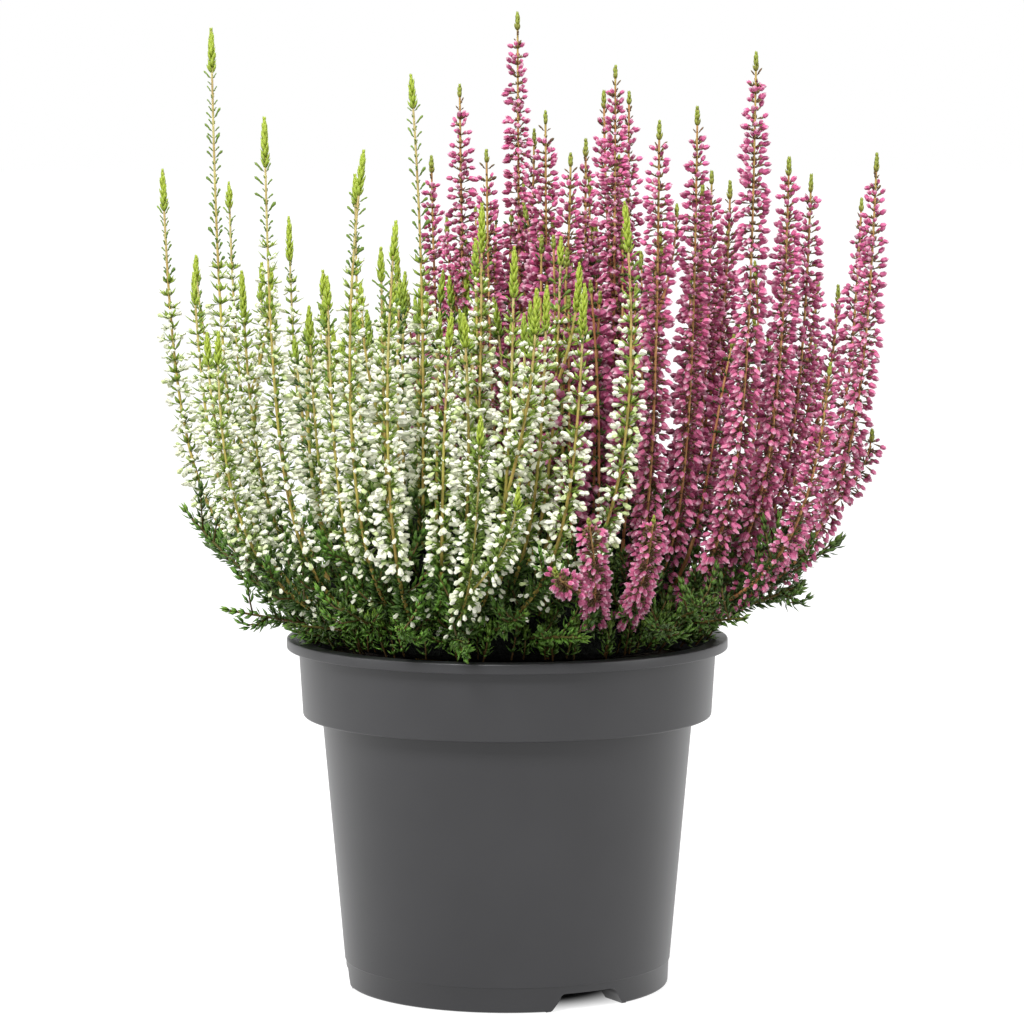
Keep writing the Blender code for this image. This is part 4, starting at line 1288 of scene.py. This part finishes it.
def make_surroundings():
    """White surroundings. The camera sees them at full white, and they light the plant at a lower
    level, which is less in front of it than behind it."""
    world = bpy.data.worlds.new("white_studio")
    world.use_nodes = True
    seen = add(world, "ShaderNodeLightPath").outputs["Is Camera Ray"]
    way = add(world, "ShaderNodeTexCoord").outputs["Generated"]
    way = add(world, "ShaderNodeSeparateXYZ", {0: way}).outputs["Y"]
    front, behind = SKY_SHINE
    level = {VALUE: way, LOW: -0.2, HIGH: 0.6, AT_LOW: front, AT_HIGH: behind}
    level = add(world, "ShaderNodeMapRange", level).outputs[0]
    level = add(world, "ShaderNodeMapRange", {VALUE: seen, AT_LOW: level, AT_HIGH: 1.0}).outputs[0]
    connect(world.node_tree.nodes["Background"], {"Color": "#ffffff", "Strength": level})
    bpy.context.scene.world = world


def make_floor():
    """A plain pale floor. The camera and reflections see it lifted to white, except under the
    pot."""
    far = FLOOR_HALF
    corners = [(-far, -far, FLOOR_Z), (far, -far, FLOOR_Z), (far, far, FLOOR_Z), (-far, far, FLOOR_Z)]
    floor = put("floor", plain_mesh("floor", corners, [(0, 1, 2, 3)]))
    paper, shader = new_finish("white_studio_floor", 1.0, 1.4)
    seen = add(paper, "ShaderNodeLightPath").outputs
    seen = {0: seen["Is Camera Ray"], 1: seen["Is Glossy Ray"]}
    seen = add(paper, "ShaderNodeMath", seen, operation="MAXIMUM").outputs[0]
    place = add(paper, "ShaderNodeTexCoord").outputs["Object"]
    away = add(paper, "ShaderNodeVectorMath", {0: place}, operation="LENGTH").outputs["Value"]
    glow = {VALUE: away, LOW: GLOW_FROM, HIGH: GLOW_TO, AT_HIGH: FLOOR_GLOW}
    glow = add(paper, "ShaderNodeMapRange", glow, interpolation_type="SMOOTHSTEP").outputs[0]
    glow = add(paper, "ShaderNodeMath", {0: seen, 1: glow}, operation="MULTIPLY").outputs[0]
    connect(shader, {"Base Color": "#909090", "Emission Color": "#ffffff", "Emission Strength": glow})
    floor.data.materials.append(paper)


def make_camera():
    """The camera at the photograph's viewing angle."""
    data = bpy.data.cameras.new("camera")
    data.sensor_width = SENSOR
    data.lens = SENSOR * FOCAL_PIXELS / IMAGE_SIDE
    data.clip_end = 100.0
    camera = put("camera", data)
    camera.location = [value * MM for value in CAMERA_PLACE]
    camera.rotation_euler = (math.pi / 2 - CAMERA_DOWN, 0.0, 0.0)
    bpy.context.scene.camera = camera


def main():
    bpy.context.scene.view_settings.view_transform = "Standard"
    make_camera()
    make_surroundings()
    make_floor()
    for light in LIGHTS:
        add_light(*light)
    make_pot(moulded_polypropylene())
    make_soil(moist_peat())
    make_inner_growth(painted_shade_inner_growth())
    leaves = {
        "white": heather_leaf("white_plant_leaf", "#a6bc40", "#5f8c2e", "#26461a", 0.8),
        "pink": heather_leaf("pink_plant_leaf", "#96a040", "#567a2c", "#25441a", 0.8),
    }
    spike_leaves = {
        "white": heather_leaf("white_spike_leaf", "#a6b83e", "#8aa43c", "#547428", 0.25),
        "pink": heather_leaf("pink_spike_leaf", "#94a03e", "#7e5f3a", "#623c30", 0.4),
    }
    barks = {
        "white": stem_bark("white_plant_bark", "#cfc48c", "#c2b860", "#b59a50", "#b08a4c"),
        "pink": stem_bark("pink_plant_bark", "#b8a45c", "#cc9c66", "#c48f58", "#b4644c"),
    }
    petals = {"white": white_sepals(), "pink": pink_sepals()}
    twig = stem_bark("leafy_twig_bark", "#66702f", "#5d5529", "#4d3820", "#6e4c2a")
    for plant in HUBS:
        make_stem_base(plant, barks[plant])
        make_foliage(plant, (petals[plant], leaves[plant], barks[plant], twig))
        make_spikes(plant, (petals[plant], spike_leaves[plant], barks[plant]))


main()
